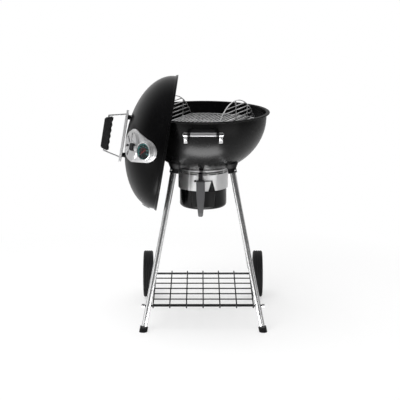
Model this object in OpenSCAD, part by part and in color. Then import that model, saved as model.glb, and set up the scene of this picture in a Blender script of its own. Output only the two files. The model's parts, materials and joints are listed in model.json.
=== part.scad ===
// Kettle charcoal grill with a side-swinging lid, shown with the lid open.
// Millimetres, +Z up, front towards -Y. The floor is z = 0 and the origin is
// the centre of the whole grill's footprint.

/* [Bowl] */
// Outside radius of the bowl's wall
bowl_r = 271; // [262:1:280]
// Depth of the bowl's curved part
bowl_depth = 240; // [230:1:250]
// Height of the straight band above the curve
bowl_skirt = 20; // [16:1:26]
// Thickness of the bowl's steel
bowl_wall = 1.6; // [1.2:0.1:2.4]
// Width of the rolled flange outside the wall
flange_w = 14; // [12:0.5:18]
// Radius of the rolled edge of the flange
roll_r = 3.5; // [3:0.1:4.5]
// Height of the bowl's rim above the floor
rim_h = 900; // [880:1:930]

/* [Bowl vents and damper] */
// Inner radius of the three vent slots
vent_in = 38; // [34:1:44]
// Outer radius of the three vent slots
vent_out = 86; // [76:1:90]
// Angle that each vent slot covers
vent_angle = 24; // [18:1:28]
// Angle that each damper blade covers
blade_angle = 34; // [30:1:38]
// Thickness of the damper blades
blade_t = 1.5; // [1:0.1:2.5]
// Gap between a blade and the bowl
blade_gap = 0.8; // [0.5:0.1:1.5]
// Radius of the damper shaft
shaft_r = 6; // [5:0.5:8]
// Width of the lever arm
lever_w = 18; // [14:1:22]
// Thickness of the lever arm
lever_t = 4; // [3:0.5:5]
// Angle of the lever with the vents open, from the front towards the left
lever_rest = 5; // [0:1:8]
// Angle that the lever turns to close the vents
lever_swing = 40; // [36:1:44]
// Length of the lever's grip
grip_len = 158; // [130:1:170]
// Width of the lever's grip at its top
grip_top_w = 36; // [30:1:40]
// Width of the lever's grip at its foot
grip_foot_w = 20; // [14:1:26]
// Depth of the lever's grip, front to back
grip_depth = 16; // [12:1:20]

/* [Ash catcher] */
// Outside radius of the steel band
band_r = 107.5; // [104:0.5:112]
// Height of the steel band
band_h = 69; // [60:1:76]
// Depth of the band's lower edge below the bowl
band_drop = 68; // [62:1:74]
// Thickness of the band and collar
band_t = 1.2; // [1:0.1:2]
// Number of slots in each row of the collar
slot_count = 16; // [12:1:20]
// Height of each slot
slot_h = 5; // [4:0.5:5.5]
// Width of the bars between slots
slot_bar = 7; // [5:0.5:10]
// Gap between the band's outside and the ash pan's side
pan_gap = 6.5; // [5.5:0.5:11]
// Depth of the ash pan below the band
pan_deep = 84; // [72:1:102]
// Depth that the pan reaches up into the band
pan_lap = 20; // [14:1:30]
// Thickness of the ash pan's steel
pan_wall = 1.2; // [1:0.1:2]
// Radius of the pan's lower edge
pan_round = 14; // [8:1:20]

/* [Legs, wheels and shelf] */
// Outside radius of the leg tubes
leg_r = 12; // [11:0.25:12.5]
// Thickness of the leg tubes
leg_wall = 1.2; // [1:0.1:2]
// Half the distance between the front feet
foot_x = 254; // [246:1:262]
// Distance of the front feet from the bowl's axis
foot_y = 270; // [262:1:280]
// Half the distance between the leg tops
leg_top_x = 121; // [116:1:126]
// Distance of the leg tops from the bowl's axis
leg_top_y = 105; // [100:1:110]
// Outside radius of the leg sockets
socket_r = 19; // [17:0.5:22]
// Length of socket below the bowl's surface
socket_len = 34; // [28:1:42]
// Extra radius of the socket's shoulder against the bowl
shoulder = 11; // [6:0.5:14]
// Radius of the foot caps
foot_r = 17; // [14.5:0.25:18]
// Height of the foot caps
foot_h = 23; // [20:1:40]
// Radius of the wheels
wheel_r = 105.5; // [98:0.5:112]
// Width of the wheels
wheel_w = 42; // [36:1:46]
// Half the distance between the wheels' inner faces
wheel_in = 228; // [228:0.5:232]
// Distance of the axle behind the bowl's axis
axle_y = 261; // [256:1:270]
// Radius of the axle
axle_r = 5; // [4:0.5:6]
// Thickness of the tyre tread
tyre_t = 13; // [9:1:18]
// Half the width of the shelf
shelf_x = 212; // [204:0.5:213]
// Number of wires that run front to back
shelf_long = 7; // [5:1:9]
// Number of wires that run across between the end bars
shelf_cross = 5; // [3:1:7]
// Radius of the shelf wires
wire_r = 2.75; // [2:0.25:3]
// Radius of the shelf's front rod
rod_r = 4; // [3.5:0.25:4.5]

/* [Grates] */
// Gap between the cooking grate's ring and the bowl's outside
grate_gap = 6.3; // [6.3:0.1:12]
// Depth of the cooking grate below the rim
grate_drop = 54; // [44:1:58]
// Angle of the grate's bars
grate_turn = 66; // [50:1:80]
// Spacing of the grate's bars
bar_pitch = 17; // [16:0.5:20]
// Number of bar spacings from the middle to a flap's hinge
hinge_bars = 9; // [9:1:9]
// Radius of the grate's bars
bar_r = 2.25; // [2:0.25:2.5]
// Radius of the grate's ring, hinge bars and cross bars
ring_r = 2.75; // [2.75:0.25:3.25]
// Angle of the raised flaps
flap_up = 92; // [90:1:95]
// Gap between the charcoal grate's ring and the bowl's outside
coal_gap = 12; // [12:0.5:20]
// Height of the charcoal grate below the rim
coal_drop = 165; // [160:1:166]
// Spacing of the charcoal grate's bars
coal_pitch = 26; // [22:1:32]

/* [Bowl handle] */
// Length of the bowl handle's grip
bh_len = 130; // [110:1:134]
// Radius of the bowl handle's grip
bh_r = 8; // [7:0.5:9]
// Distance of the grip's axis in front of the bowl's wall
bh_out = 50; // [46:1:56]
// Depth of the grip's axis below the rim
bh_drop = 44; // [42:1:52]
// Width of the handle's end brackets
bh_bracket_w = 15; // [12:1:16]

/* [Lid] */
// Angle that the lid stands open
lid_open = 80.5; // [70:0.5:84]
// Depth of the lid's hinge axis below the rim
pivot_drop = 164; // [162:1:170]
// Thickness of the lid's steel
lid_wall = 1.6; // [1.2:0.1:2.4]
// Gap between the turning lid and the bowl's rim
sweep_gap = 2; // [1.5:0.1:4]
// Gap between the closed lid's ledge and the rim
ledge_gap = 0.5; // [0.4:0.1:1.5]
// Depth that the lid's lip laps below the rim
lip_drop = 8; // [6:0.5:10]
// Extra height of the dome's top
dome_extra = 3; // [2:0.5:12]
// Radius of the bead around the lid's lip
bead_r = 2.5; // [2:0.25:3]

/* [Lid hinge] */
// Width of the hinge arm
arm_w = 30; // [26:1:36]
// Thickness of the hinge arm
arm_t = 6; // [5:0.5:8]
// Gap between the lid's bead and the hinge arm
arm_gap = 6; // [4:0.5:10]
// Radius of the hinge pin
hinge_r = 7; // [6:0.5:9]
// Radius of the hinge bracket's plate
hinge_plate_r = 70; // [70:1:80]
// Thickness of the hinge bracket's plate
hinge_plate_t = 8; // [6:0.5:10]
// Distance of the stop pegs from the hinge pin
peg_out = 58; // [50:1:60]
// Radius of the stop pegs
peg_r = 5; // [4:0.5:6]

/* [Lid handle] */
// Length of the heat shield
shield_len = 211; // [200:1:220]
// Width of the heat shield
shield_w = 86; // [70:1:100]
// Height of the heat shield's turned edges
shield_edge = 9; // [6:0.5:12]
// Thickness of the heat shield
shield_t = 1.5; // [1:0.1:2]
// Gap between the dome's top and the heat shield
shield_gap = 6; // [4:0.5:10]
// Length of the lid handle's grip
lh_len = 148; // [130:1:156]
// Height of the grip's section, away from the lid
lh_high = 32; // [26:1:36]
// Thickness of the grip's section
lh_deep = 26; // [20:1:32]
// Distance from the heat shield to the grip's inner face
lh_clear = 64; // [50:1:70]
// Slope of the grip's ends, shorter at the outside
lh_slope = 9; // [4:1:14]
// Radius of the handle's rod
bail_r = 3; // [2.5:0.25:3.5]
// Half the distance between the handle's feet
bail_foot = 96; // [92:1:98]

/* [Lid vent and thermometer] */
// Distance of the vent's centre from the lid's axis
lv_out = 181; // [176:1:186]
// Radius of the turning vent disc
disc_r = 59; // [54:1:62]
// Thickness of the vent disc
disc_t = 2; // [1.5:0.1:3]
// Length of each vent slot
slot_len = 38; // [30:1:42]
// Width of each vent slot at its wide end
slot_wide = 12; // [9:0.5:14]
// Angle between vent slots
slot_step = 51; // [48:1:55]
// Number of vent slots
slot_n = 4; // [3:1:4]
// Border of the cover plate around the disc
plate_edge = 10; // [8:0.5:12]
// Height of the cover plate above the dome
plate_h = 8; // [7:0.5:10]
// Thickness of the cover plate's steel
plate_t = 1.5; // [1.2:0.1:2]
// Distance of the thermometer from the lid's axis
th_out = 259; // [256:0.5:261]
// Radius of the thermometer's bezel
th_r = 38; // [34:0.5:40]
// Height of the thermometer's case
th_h = 11; // [10:0.5:14]
// Radius of the cover plate around the thermometer
th_edge_r = 48; // [45:1:52]

/* [Hidden] */

$fn = 64;
wire_sides = 10;
seat = 0.3;
tab_gap = 0.4;
rim_fit = 0.1;
weld_sink = 0.7;
run_fit = 0.08;
arc_steps = 28;
cut = 1;

// Bowl and frame
bh_y = -(bowl_r + bh_out);
bh_z = rim_h - bh_drop;
roll_from = 180 - asin(1 - bowl_wall / roll_r);
rim_r = bowl_r + flange_w;
curve_z = rim_h - bowl_skirt;
bowl_in_r = bowl_r - bowl_wall;
bowl_in_depth = bowl_depth - bowl_wall;
bowl_low = curve_z - bowl_depth;
leg_in = leg_r - leg_wall;
leg_top_out = norm([leg_top_x, leg_top_y]);
leg_gap = 14;
leg_top_z = bowl_z(leg_top_out, 0) - leg_gap;
axle_z = wheel_r;
bracket_x = wheel_in - 8;
bracket_t = 6;
rear_end_z = axle_z + 28;
rod_z = axle_z + axle_r - rod_r;
wire_z = rod_z + rod_r + wire_r + seat;
cross_z = wire_z - wire_r * 1.7;
front_rod_y = -foot_y + (foot_y - leg_top_y) * rod_z / leg_top_z;
end_bar_r = 3;
shelf_front = front_rod_y + rod_r + end_bar_r + 1;
shelf_rear = axle_y - axle_r - end_bar_r - 1;
rod_end = foot_x - (foot_x - leg_top_x) * rod_z / leg_top_z + leg_r + 12;
nut_h = 12;
axle_end = wheel_in + wheel_w - 3;

// Grates
grate_z = rim_h - grate_drop;
grate_r = bowl_rad(grate_z, 0) - grate_gap;
hinge_n = hinge_bars * bar_pitch;
chord_half = sqrt(pow(grate_r, 2) - pow(hinge_n, 2));
rod_y = chord_half * 0.423;
eye_y = chord_half * 0.5877;
coal_z = rim_h - coal_drop;
coal_r = bowl_rad(coal_z, 0) - coal_gap;
coal_rod_y = coal_r * 0.441;
eye_t = 18;
eye_out = 1.8;

// Ash catcher
band_z = bowl_low - band_drop;
pan_z = band_z - pan_deep;
pan_r = band_r - pan_gap;
collar_r = band_r - band_t - seat;
collar_low = band_z + band_h - 6;
pan_top = band_z + pan_lap;
lip_r = collar_r - band_t - 1.2;
arm_pass_z = collar_low + 14;
grip_y = band_r + 14;
grip_top = band_z + 52;

// Lid, closed: heights are above the floor and radii from the bowl's axis
pivot_z = rim_h - pivot_drop;
sweep_r = norm([rim_r, pivot_drop]) + sweep_gap;
base_z = rim_h + ledge_gap;
dome_r = sqrt(pow(sweep_r, 2) - pow(pivot_drop + ledge_gap, 2));
dome_h = sweep_r - pivot_drop - ledge_gap + dome_extra;
lip_z = rim_h - lip_drop;
lip_in = sqrt(pow(sweep_r, 2) - pow(pivot_drop - lip_drop, 2));
bead_out = lip_in + lid_wall + bead_r;
arm_y = bead_out + arm_gap;
arm_foot_z = base_z + 11.5;
arm_foot_h = 38;
standoff_x = bail_foot - 13;
lid_top = base_z + dome_h + lid_wall;
shield_z = lid_top + shield_gap;
grip_z = shield_z + lh_clear;
tilt_v = dome_tilt(lv_out);
tilt_t = dome_tilt(th_out);

// The bowl's axis stands off the origin so that the footprint is centred
x_low = -(grip_z + lh_high - pivot_z) * sin(lid_open) - (lh_len / 2 - lh_slope) * cos(lid_open);
y_low = bh_y - bh_r;
y_high = axle_y + wheel_r;
centre = [-(x_low + rim_r) / 2, -(y_low + y_high) / 2, 0];

function bowl_z(r, grow) = curve_z - (bowl_depth + grow) * sqrt(1 - pow(r / (bowl_r + grow), 2));
function bowl_rad(z, grow) = (bowl_r + grow) * sqrt(1 - pow((curve_z - z) / (bowl_depth + grow), 2));
function dome_z(r, grow) =
  base_z + (dome_h + lid_wall + grow) * sqrt(1 - pow(r / (dome_r + lid_wall + grow), 2));
function dome_tilt(r) =
  atan(r * pow(dome_h + lid_wall, 2) / (pow(dome_r + lid_wall, 2) * (dome_z(r, 0) - base_z)));
function quarter(a, b, from, to) =
  [for (i = [0:arc_steps]) let (t = from + (to - from) * i / arc_steps) [a * cos(t), b * sin(t)]];
function shift(points, by) = [for (p = points) p + by];
function along(p, q, z) = p + (q - p) * (z - p[2]) / (q[2] - p[2]);

front_foot = [-foot_x, -foot_y, 0];
front_top = [-leg_top_x, -leg_top_y, leg_top_z];
rear_foot = [-bracket_x, axle_y, axle_z];
rear_top = [-leg_top_x, leg_top_y, leg_top_z];

// ---- Helpers ----

// Round bar between two points
module bar(p, q, r) {
  v = q - p;
  translate(p)
    rotate([0, acos(v[2] / norm(v)), atan2(v[1], v[0])])
      cylinder(r = r, h = norm(v));
}

module wire(p, q, r) {
  bar(p, q, r, $fn = wire_sides);
}

// Part of a ring of round wire, from one angle to another
module wire_arc(radius, r, from, to) {
  rotate([0, 0, from])
    rotate_extrude(angle = to - from)
      translate([radius, 0])
        circle(r = r, $fn = wire_sides);
}

// Sector of a plain ring, for slots and straps
module sector(r_in, r_out, low, high, from, to) {
  rotate([0, 0, from])
    rotate_extrude(angle = to - from)
      translate([r_in, low])
        square([r_out - r_in, high - low]);
}

// Solid inside the bowl's outer surface grown by a distance, open to above
module bowl_solid(grow) {
  a = bowl_r + grow;
  b = bowl_depth + grow;
  rotate_extrude()
    polygon(concat(
      shift(quarter(a, b, -90, 0), [0, curve_z]),
      [[a, rim_h + 40], [0, rim_h + 40]]));
}

// Solid inside the lid's outer surface grown by a distance
module dome_solid(grow) {
  a = dome_r + lid_wall + grow;
  b = dome_h + lid_wall + grow;
  rotate_extrude()
    polygon(concat(
      shift(quarter(a, b, 0, 90), [0, base_z]),
      [[0, lip_z - 40], [a, lip_z - 40]]));
}

// Turns a closed lid's pieces to where the open lid is
module on_lid() {
  translate([0, 0, pivot_z])
    rotate([0, -lid_open, 0])
      translate([0, 0, -pivot_z])
        children();
}

module at_vent() {
  translate([0, -lv_out, dome_z(lv_out, 0)])
    rotate([tilt_v, 0, 0])
      children();
}

module at_thermometer() {
  translate([0, -th_out, dome_z(th_out, 0)])
    rotate([tilt_t, 0, 0])
      children();
}

// Cooking grate's own frame: X across the bars, Y along them
module on_grate() {
  translate([0, 0, grate_z])
    rotate([0, 0, grate_turn - 90])
      children();
}

module screw_head(r, h) {
  cylinder(r = r, h = h * 0.5);
  translate([0, 0, h * 0.5])
    cylinder(r1 = r, r2 = r * 0.6, h = h * 0.5);
}

// ---- Bowl ----

module bowl() {
  color("black")
    translate(centre)
      difference() {
        rotate_extrude()
          polygon(concat(
            shift(quarter(bowl_r, bowl_depth, -90, 0), [0, curve_z]),
            [[bowl_r, rim_h], [bowl_in_r, rim_h]],
            shift(quarter(bowl_in_r, bowl_in_depth, 0, -90), [0, curve_z])));
        for (k = [0:2])
          sector(vent_in, vent_out, bowl_low - cut, bowl_low + 60,
                 k * 120 - vent_angle / 2, k * 120 + vent_angle / 2);
        translate([0, 0, bowl_low - cut])
          cylinder(r = shaft_r + run_fit, h = bowl_wall + 3);
      }
}

// Flange around the bowl's top, with its rolled edge
module bowl_rim() {
  inner = bowl_r + rim_fit;
  color("black")
    translate(centre)
      rotate_extrude()
        polygon(concat(
          [[inner, rim_h], [inner, rim_h - bowl_wall]],
          shift(quarter(roll_r, roll_r, roll_from, 450), [rim_r - roll_r, rim_h - roll_r])));
}

// Bent strips on the bowl's wall that a grate's ring rests on
module grate_tabs(z, r_ring, count, first) {
  drop = 17;
  top = bowl_rad(z, -bowl_wall) - tab_gap;
  low = bowl_rad(z - drop, -bowl_wall) - tab_gap;
  translate(centre)
    for (k = [0:count - 1])
      rotate([0, 0, first + k * 360 / count])
        translate([0, 10, 0])
          rotate([90, 0, 0])
            linear_extrude(20)
              polygon([
                [r_ring - 12, z], [top, z], [low, z - drop], [low - 2.5, z - drop],
                [top - 3.2, z - 2.5], [r_ring - 12, z - 2.5]]);
}

module grate_supports() {
  color("silver")
    grate_tabs(grate_z - ring_r - seat, grate_r, 6, grate_turn - 90);
}

module charcoal_supports() {
  color("silver")
    grate_tabs(coal_z - ring_r - seat, coal_r, 4, 45);
}

// ---- Bowl handle ----

module bowl_handle_grip() {
  color("dimgray")
    translate(centre)
      translate([-bh_len / 2, bh_y, bh_z])
        rotate([0, 90, 0])
          cylinder(r = bh_r, h = bh_len);
}

// Strap from the bowl's wall to an eye that closes the grip's end
module bowl_handle_bracket(side) {
  low = bh_z - 44;
  inner = bh_len / 2 + seat;
  difference() {
    translate([side < 0 ? -inner - bh_bracket_w : inner, 0, 0])
      rotate([90, 0, 90]) {
        linear_extrude(bh_bracket_w)
          polygon([
            [bh_y + bh_r, bh_z], [bh_y, bh_z - bh_r], [-bowl_r - 12, low + 12],
            [-bowl_r - 8, low], [-bowl_r + 30, low], [-bowl_r + 30, bh_z - 10],
            [-bowl_r - 8, bh_z - 10], [bh_y + 12, bh_z + 5]]);
        translate([bh_y, bh_z, 0])
          cylinder(r = bh_r + 0.5, h = bh_bracket_w);
      }
    bowl_solid(seat);
  }
}

module bowl_handle_bracket_left() {
  color("silver")
    translate(centre)
      bowl_handle_bracket(-1);
}

module bowl_handle_bracket_right() {
  color("silver")
    translate(centre)
      bowl_handle_bracket(1);
}

// ---- Legs ----

module leg_tube(foot, top) {
  difference() {
    bar(foot, top, leg_r);
    bar(foot + (foot - top) * 0.01, top + (top - foot) * 0.01, leg_in);
  }
}

// Cup under the bowl that the leg's top end sits in, wider against the bowl
module leg_socket(foot, top) {
  v = top - foot;
  low = along(foot, top, top[2] + leg_gap - socket_len);
  high = along(foot, top, top[2] + 60);
  difference() {
    union() {
      bar(low, high, socket_r);
      translate(along(foot, top, top[2] + leg_gap - shoulder - 5))
        rotate([0, acos(v[2] / norm(v)), atan2(v[1], v[0])]) {
          cylinder(r1 = socket_r, r2 = socket_r + shoulder, h = shoulder * 1.6);
          translate([0, 0, shoulder * 1.6])
            cylinder(r = socket_r + shoulder, h = 60);
        }
    }
    bar(low + (low - high) * 0.1, high, leg_r + 0.1);
    bowl_solid(0.2);
  }
}

module front_leg() {
  start = along(front_foot, front_top, 9);
  difference() {
    leg_tube(start, front_top);
    translate([-foot_x - 60, front_rod_y, rod_z])
      rotate([0, 90, 0])
        cylinder(r = rod_r + 0.2, h = 120);
  }
}

module rear_leg() {
  leg_tube(along(rear_foot, rear_top, rear_end_z), rear_top);
}

// Cap that closes the leg's foot, flat on the floor
module foot_cap(side) {
  foot = [side * foot_x, -foot_y, 0];
  top = [side * leg_top_x, -leg_top_y, leg_top_z];
  difference() {
    bar(along(foot, top, -30), along(foot, top, foot_h), foot_r);
    bar(along(foot, top, 9 - seat), along(foot, top, foot_h + 10), leg_r + 0.1);
    translate(foot - [60, 60, 80])
      cube([120, 120, 80]);
  }
}

module leg_socket_front_left() {
  color("black")
    translate(centre)
      leg_socket(front_foot, front_top);
}

module leg_socket_front_right() {
  color("black")
    translate(centre)
      mirror([1, 0, 0])
        leg_socket(front_foot, front_top);
}

module leg_socket_rear_left() {
  color("black")
    translate(centre)
      leg_socket(rear_foot, rear_top);
}

module leg_socket_rear_right() {
  color("black")
    translate(centre)
      mirror([1, 0, 0])
        leg_socket(rear_foot, rear_top);
}

module leg_front_left() {
  color("lightgray")
    translate(centre)
      front_leg();
}

module leg_front_right() {
  color("lightgray")
    translate(centre)
      mirror([1, 0, 0])
        front_leg();
}

module leg_rear_left() {
  color("lightgray")
    translate(centre)
      rear_leg();
}

module leg_rear_right() {
  color("lightgray")
    translate(centre)
      mirror([1, 0, 0])
        rear_leg();
}

// One screw through the outer side of each socket
module leg_screw(foot, top) {
  v = top - foot;
  translate(along(foot, top, top[2] - 10))
    rotate([0, acos(v[2] / norm(v)), atan2(v[1], v[0])])
      rotate([0, -90, 0])
        translate([0, 0, socket_r + seat])
          screw_head(5, 4);
}

// Screws of the legs and of the bowl's handle
module stand_bolts() {
  color("silver")
    translate(centre)
      for (side = [0, 1])
        mirror([side, 0, 0]) {
          leg_screw(front_foot, front_top);
          leg_screw(rear_foot, rear_top);
          translate([bh_len / 2 + seat + bh_bracket_w + seat, bh_y, bh_z])
            rotate([0, 90, 0])
              screw_head(5, 4);
        }
}

module foot_cap_left() {
  color("black")
    translate(centre)
      foot_cap(-1);
}

module foot_cap_right() {
  color("black")
    translate(centre)
      foot_cap(1);
}

// Plug in the rear leg's end with a tongue that carries the axle
module axle_bracket() {
  plug_low = along(rear_foot, rear_top, rear_end_z + 4);
  plug_high = along(rear_foot, rear_top, rear_end_z + 44);
  tongue_high = along(rear_foot, rear_top, rear_end_z + 24);
  v = tongue_high - rear_foot;
  difference() {
    union() {
      bar(plug_low, plug_high, leg_in - 0.1);
      translate(rear_foot)
        rotate([0, acos(v[2] / norm(v)), atan2(v[1], v[0])])
          rotate([0, 0, 90 - atan2(v[1], v[0])])
            translate([-9, -bracket_t / 2, 0])
              cube([18, bracket_t, norm(v)]);
      translate(rear_foot - [bracket_t / 2, 0, 0])
        rotate([0, 90, 0])
          cylinder(r = axle_r + 9, h = bracket_t);
    }
    translate(rear_foot - [30, 0, 0])
      rotate([0, 90, 0])
        cylinder(r = axle_r + 0.1, h = 60);
  }
}

module axle_bracket_left() {
  color("dimgray")
    translate(centre)
      axle_bracket();
}

module axle_bracket_right() {
  color("dimgray")
    translate(centre)
      mirror([1, 0, 0])
        axle_bracket();
}

// ---- Wheels ----

module axle() {
  color("silver")
    translate(centre)
      translate([-axle_end, axle_y, axle_z])
        rotate([0, 90, 0])
          cylinder(r = axle_r, h = 2 * axle_end);
}

module axle_nuts() {
  color("silver")
    translate(centre)
      for (side = [-1, 1])
        translate([0, axle_y, axle_z])
          rotate([0, side * 90, 0])
            difference() {
              union() {
                translate([0, 0, wheel_in + wheel_w - nut_h])
                  cylinder(r = 11, h = nut_h - 0.2);
                translate([0, 0, bracket_x + bracket_t / 2 + seat])
                  cylinder(r = 11, h = wheel_in - bracket_x - bracket_t / 2 - 2 * seat);
              }
              translate([0, 0, -cut])
                cylinder(r = axle_r + 0.1, h = axle_end + 0.1 + cut);
            }
}

module wheel_tyre() {
  r_in = wheel_r - tyre_t;
  half = wheel_w / 2;
  difference() {
    rotate_extrude()
      polygon([
        [r_in, -half + 4], [wheel_r - 6, -half], [wheel_r - 2, -half + 2], [wheel_r, -half + 6],
        [wheel_r, half - 6], [wheel_r - 2, half - 2], [wheel_r - 6, half], [r_in, half - 4]]);
    for (k = [-1, 0, 1])
      translate([0, 0, k * 9])
        rotate_extrude()
          translate([wheel_r - 2, -1.2])
            square([4, 2.4]);
  }
}

module wheel_hub() {
  rim = wheel_r - tyre_t - 0.2;
  half = wheel_w / 2;
  difference() {
    union() {
      rotate_extrude()
        polygon([
          [rim - 7, -half + 5], [rim, -half + 5], [rim, half - 5], [rim - 7, half - 5]]);
      translate([0, 0, -half])
        cylinder(r = 18, h = wheel_w - nut_h - seat);
      translate([0, 0, -3])
        cylinder(r = rim - 3, h = 6);
      for (k = [0:4])
        rotate([0, 0, k * 72])
          translate([14, -4, -half + 7])
            cube([rim - 18, 8, wheel_w - 14]);
    }
    translate([0, 0, -half - cut])
      cylinder(r = axle_r + run_fit, h = wheel_w + 2 * cut);
  }
}

module at_wheel(side) {
  translate(centre)
    translate([side * (wheel_in + wheel_w / 2), axle_y, axle_z])
      rotate([0, side * 90, 0])
        children();
}

module wheel_tyre_left() {
  color("dimgray")
    at_wheel(-1)
      wheel_tyre();
}

module wheel_tyre_right() {
  color("dimgray")
    at_wheel(1)
      wheel_tyre();
}

module wheel_hub_left() {
  color("black")
    at_wheel(-1)
      wheel_hub();
}

module wheel_hub_right() {
  color("black")
    at_wheel(1)
      wheel_hub();
}

// ---- Shelf ----

module shelf() {
  front = front_rod_y - rod_r - wire_r - seat;
  back = axle_y + axle_r + wire_r + 2;
  color("black")
    translate(centre) {
      for (k = [0:shelf_long - 1]) {
        x = -shelf_x + 2 * shelf_x * k / (shelf_long - 1);
        wire([x, front, wire_z], [x, back, wire_z], wire_r);
        wire([x, front, wire_z + wire_r * 0.6], [x, front, rod_z - 8], wire_r);
      }
      for (k = [1:shelf_cross]) {
        y = shelf_front + (shelf_rear - shelf_front) * k / (shelf_cross + 1);
        wire([-shelf_x - 3, y, cross_z], [shelf_x + 3, y, cross_z], wire_r);
      }
      wire([-shelf_x - 3, shelf_front, cross_z], [shelf_x + 3, shelf_front, cross_z], end_bar_r);
      wire([-shelf_x - 3, shelf_rear, cross_z], [shelf_x + 3, shelf_rear, cross_z], end_bar_r);
    }
}

module shelf_rod() {
  color("black")
    translate(centre)
      translate([-rod_end, front_rod_y, rod_z])
        rotate([0, 90, 0])
          cylinder(r = rod_r, h = 2 * rod_end);
}

module shelf_nuts() {
  color("black")
    translate(centre)
      for (side = [-1, 1])
        translate([side * rod_end, front_rod_y, rod_z])
          rotate([0, side * 90, 0])
            difference() {
              translate([0, 0, -9.3])
                cylinder(r = rod_r + 4, h = 12);
              translate([0, 0, -10])
                cylinder(r = rod_r + 0.1, h = 10 + seat);
            }
}

// ---- Ash catcher ----

module collar_slots(low) {
  step = 360 / slot_count;
  open = step - slot_bar / collar_r * 180 / PI;
  for (k = [0:slot_count - 1])
    sector(collar_r - 5, collar_r + 5, low, low + slot_h, k * step - open / 2, k * step + open / 2);
}

module ash_collar() {
  color("silver")
    translate(centre)
      difference() {
        translate([0, 0, collar_low])
          cylinder(r = collar_r, h = 60);
        translate([0, 0, collar_low - cut])
          cylinder(r = collar_r - band_t, h = 60 + 2 * cut);
        bowl_solid(seat);
        collar_slots(band_z + band_h + seat);
        collar_slots(arm_pass_z);
        sector(collar_r - 5, collar_r + 5, arm_pass_z - 1.2, arm_pass_z + lever_t + 1.2,
               -98 - lever_rest, -82 - lever_rest + lever_swing);
      }
}

module ash_band() {
  color("lightgray")
    translate(centre)
      difference() {
        union() {
          translate([0, 0, band_z])
            cylinder(r = band_r, h = band_h);
          sector(band_r - 0.5, band_r + 1, band_z, band_z + band_h, -126, -124);
        }
        translate([0, 0, band_z - cut])
          cylinder(r = band_r - band_t, h = band_h + 2 * cut);
      }
}

// Three spring clips inside the band that grip the pan's lip
module pan_clips() {
  color("silver")
    translate(centre)
      for (k = [0:2])
        sector(lip_r + seat, band_r - band_t - seat, pan_top - 8, pan_top + 6,
               k * 120 - 36, k * 120 - 24);
}

// Wire clip across the band's front with a pointed tongue over the pan
module pan_latch() {
  low = band_z - 2;
  high = band_z + 46;
  color("black")
    translate(centre) {
      sector(band_r + seat, band_r + 3.3, high - 3, high, -108, -69);
      rotate([0, 0, -108])
        translate([band_r + seat, 0, high - 2])
          rotate([0, 90, 0])
            cylinder(r = 4.5, h = 5);
      intersection() {
        sector(band_r + seat, band_r + 2.3, low, high - 1, -82, -58);
        rotate([0, 0, -70])
          rotate([90, 0, 90])
            linear_extrude(band_r + 10)
              polygon([[-16, low], [16, low], [1.5, high - 1], [-1.5, high - 1]]);
      }
    }
}

module ash_pan() {
  corner = [pan_r - pan_round, pan_z + pan_round];
  inner = pan_round - pan_wall;
  color("black")
    translate(centre)
      rotate_extrude()
        polygon(concat(
          [[0, pan_z]],
          shift(quarter(pan_round, pan_round, -90, 0), corner),
          [[pan_r, pan_top - 3], [lip_r, pan_top - 2], [lip_r, pan_top]],
          [[pan_r - pan_wall, pan_top]],
          shift(quarter(inner, inner, 0, -90), corner),
          [[0, pan_z + pan_wall]]));
}

// ---- Damper and lever ----

module damper_blades() {
  a = bowl_in_r - blade_gap;
  b = bowl_in_depth - blade_gap;
  reach = -acos((vent_out + 5) / a);
  color("dimgray")
    translate(centre)
      difference() {
        union() {
          for (k = [0:2])
            rotate([0, 0, k * 120 - lever_swing - blade_angle / 2])
              rotate_extrude(angle = blade_angle)
                polygon(concat(
                  shift(quarter(a, b, -90, reach), [0, curve_z]),
                  shift(quarter(a - blade_t, b - blade_t, reach, -90), [0, curve_z])));
          translate([0, 0, bowl_low + bowl_wall + blade_gap])
            cylinder(r = 16, h = 8);
        }
        translate([0, 0, bowl_low - cut])
          cylinder(r = shaft_r, h = 30);
      }
}

module damper_shaft() {
  color("silver")
    translate(centre)
      translate([0, 0, bowl_low - 14])
        cylinder(r = shaft_r - 0.02, h = 30);
}

// Bent flat arm: out under the bowl, through the collar and down to the grip
module lever_arm() {
  hub_z = bowl_low - 10;
  color("black")
    translate(centre)
      rotate([0, 0, -90 - lever_rest])
        difference() {
          union() {
            translate([0, 0, hub_z])
              cylinder(r = 14, h = lever_t + 2);
            translate([0, lever_w / 2, 0])
              rotate([90, 0, 0])
                linear_extrude(lever_w)
                  polygon([
                    [0, hub_z], [58, hub_z], [collar_r - 5, arm_pass_z], [grip_y + 3, arm_pass_z],
                    [grip_y + 3, grip_top - 12], [grip_y + 3 + lever_t, grip_top - 12],
                    [grip_y + 3 + lever_t, arm_pass_z + lever_t],
                    [collar_r - 7, arm_pass_z + lever_t], [56, hub_z + lever_t],
                    [0, hub_z + lever_t]]);
          }
          translate([0, 0, hub_z - cut])
            cylinder(r = shaft_r, h = lever_t + 6);
        }
}

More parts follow.
